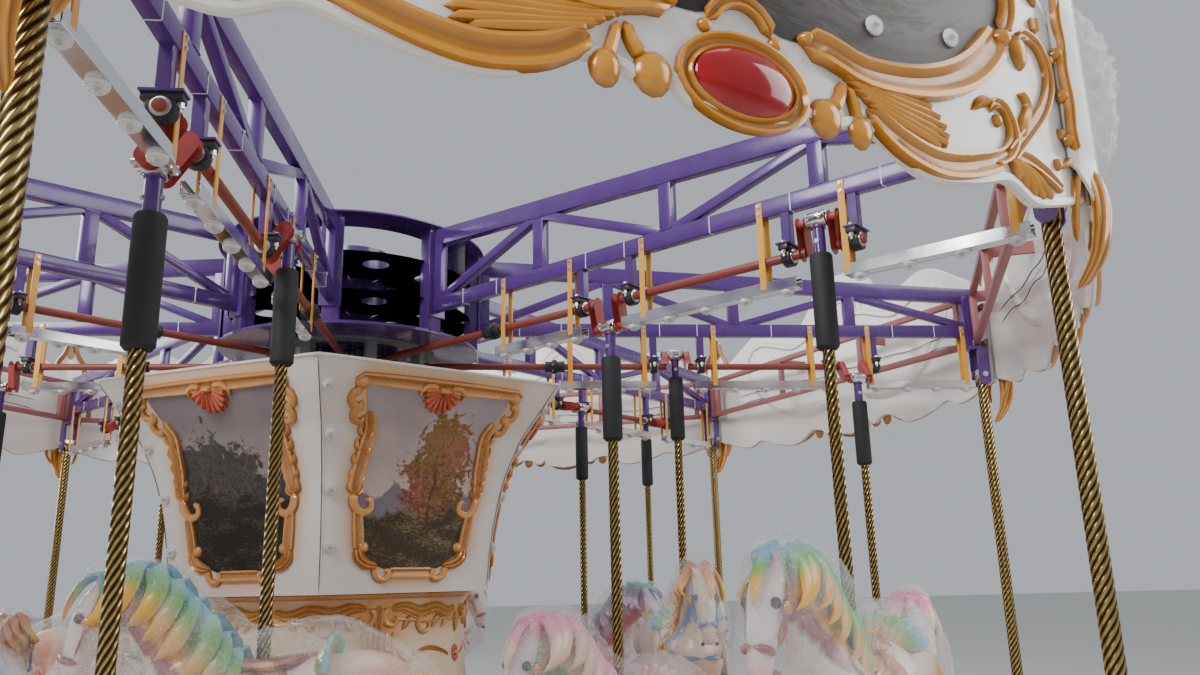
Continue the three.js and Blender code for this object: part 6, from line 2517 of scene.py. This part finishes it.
def line_distance(forward: np.ndarray, up: np.ndarray, line: Sequence[Point]) -> np.ndarray:
    """How far places lie from a line, seen from the side."""
    nearest = np.full(len(up), np.inf)
    for (f0, u0), (f1, u1) in zip(line, line[1:]):
        run, rise = f1 - f0, u1 - u0
        share = np.clip(((forward - f0) * run + (up - u0) * rise) / (run ** 2 + rise ** 2), 0, 1)
        nearest = np.minimum(nearest, np.hypot(forward - f0 - share * run, up - u0 - share * rise))
    return nearest


class Coat:
    """The airbrushed colours of one horse's vertices.

    Attributes:
        palette: The horse's colours.
        side: How far each vertex lies to the side of the pole.
        forward: How far it lies forward of the pole.
        up: Its height above the floor.
        fall: How far it lies down from the crest of the neck.
    """

    def __init__(self, mesh: bpy.types.Mesh, palette: Palette) -> None:
        """Read the vertices of a horse that is still in its own place."""
        places = np.empty(len(mesh.vertices) * 3)
        mesh.vertices.foreach_get("co", places)
        self.palette = palette
        self.side, back, height = places.reshape(-1, 3).T
        self.forward, self.up = -back, height + RIDE.crank_z
        self.fall = np.hypot(line_distance(self.forward, self.up, CREST_LINE), 0.8 * self.side)[:, None]

    def plain(self, colour: Colour) -> np.ndarray:
        """One colour for every vertex."""
        return np.tile(np.array(colour), (len(self.up), 1))

    def near(self, forward: float, up: float, reach: float) -> np.ndarray:
        """How strongly a soft spray round one place covers each vertex."""
        squares = (self.forward - forward) ** 2 + (self.up - up) ** 2
        return np.exp(-squares / reach ** 2)[:, None]

    def mixed(self, first: np.ndarray, second: Colour, share: np.ndarray) -> np.ndarray:
        """Colours turned towards another by a share that is kept from 0 to 1."""
        return first + (np.array(second) - first) * np.clip(share, 0, 1)

    def hair(self) -> np.ndarray:
        """The mane's three colours, from the crest outwards."""
        first, second, third = self.palette.hair
        hair = self.mixed(self.plain(first), second, (self.fall - 0.045) / 0.030)
        return self.mixed(hair, third, (self.fall - 0.095) / 0.040)

    def skin(self, hair: np.ndarray) -> np.ndarray:
        """Blushes, a warm rump, hooves and the colours under the mane."""
        palette, forward, up, fall = self.palette, self.forward, self.up, self.fall[:, 0]
        blush = (0.8 * self.near(0.590, 1.610, 0.07) + 0.8 * self.near(0.69, 1.20, 0.07)
                 + 0.5 * self.near(0.40, 1.05, 0.16))
        skin = self.mixed(self.plain(palette.body), palette.blush, blush)
        warm = 1.0 * self.near(-0.50, 1.12, 0.22) + 0.5 * self.near(-0.40, 0.95, 0.15)
        skin = self.mixed(skin, palette.rump, warm)
        hooves = ((up < 0.668) & (forward > 0)) | ((up < 0.560) & (forward < 0))
        skin[hooves] = palette.hoof
        on_mane = (fall < 0.215) & (forward > 0.06) & (forward < 0.585) & (up > 1.24)
        skin[on_mane] = hair[on_mane]
        on_band = (fall > 0.185) & (fall < 0.235) & (forward > 0.06) & (forward < 0.56) & (up > 1.20)
        skin[on_band] = palette.tack[0]
        return skin

    def tack(self) -> np.ndarray:
        """The striped blanket and the saddle's fan, which changes colour from its root to its edge."""
        cloth, stripe = self.palette.tack
        band = (np.floor((self.forward + 0.25) / 0.06) % 2)[:, None]
        tack = self.mixed(self.plain(cloth), stripe, band * (np.abs(self.side) > 0.10)[:, None])
        reach = np.sqrt((self.forward + 0.185) ** 2 + (self.up - 1.245) ** 2 + self.side ** 2)[:, None]
        edge, middle, root = self.palette.fan
        fan = self.mixed(self.plain(root), middle, (reach - 0.08) / 0.05)
        fan = self.mixed(fan, edge, (reach - 0.15) / 0.03)
        on_fan = (self.forward < -0.188) & (self.up > 1.240) & (reach[:, 0] > 0.05)
        tack[on_fan] = fan[on_fan]
        return tack

    def paint(self, mesh: bpy.types.Mesh) -> None:
        """Keep the colours on the mesh as the attribute "coat"."""
        kinds = np.zeros(len(self.up), dtype=int)
        names = [material.name for material in mesh.materials]
        for polygon in mesh.polygons:
            kinds[polygon.vertices] = polygon.material_index
        hair = self.hair()
        colours = np.ones((len(self.up), 4))
        for name, values in ((HORSE.name, self.skin(hair)), (HAIR.name, hair), (TACK.name, self.tack())):
            chosen = kinds == names.index(name)
            colours[chosen, :3] = values[chosen]
        layer = mesh.color_attributes.new("coat", "FLOAT_COLOR", "POINT")
        layer.data.foreach_set("color", colours.ravel())


def main() -> None:
    """Build the ride around its frame and report each piece."""
    logging.basicConfig(level=logging.INFO, format="%(name)s %(message)s")
    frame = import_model()
    View().build()
    Hub().build()
    Sweep().build()
    phases = crank_phases(frame["joints"])
    Crank().build(phases)
    FixedPoles().build()
    DeckTrim().build()
    RoundingBoards().build()
    CornerShields().build()
    Drum().build()
    Casing().build()
    Horses(frame["joints"]).build()
    dress_frame(frame["nodes"])


def crank_phases(joints: Sequence[dict]) -> dict[int, float]:
    """The angle of each sweep's inner throw, from the places of the crank pins.

    Args:
        joints: The frame's joints.

    Returns:
        The angle in radians for each sweep's number.
    """
    pins = {j["name"]: Vector(j["pos_m"]) for j in joints}
    phases = {}
    for n in RIDE.numbers:
        local = RIDE.sweep(n).inverted() @ pins[f"inner_pin_{n}_turn"]
        phases[n] = math.atan2(local.z - RIDE.crank_z, local.y)
    return phases


def dress_frame(nodes: dict[str, bpy.types.Object]) -> None:
    """Give the CAD nodes that stay in sight their finishes."""
    finishes = {"base_frame": STEEL, "centre_column": STEEL, "inner_frame": STEEL, "deck": DECKING}
    for name, node in nodes.items():
        finish = finishes.get(name) or (GELCOAT if name.startswith(("upper", "rounding")) else
                                        CREAM if name.startswith("lower") else HORSE)
        node.data.materials.clear()
        node.data.materials.append(finish.material())


if __name__ == "__main__":
    main()
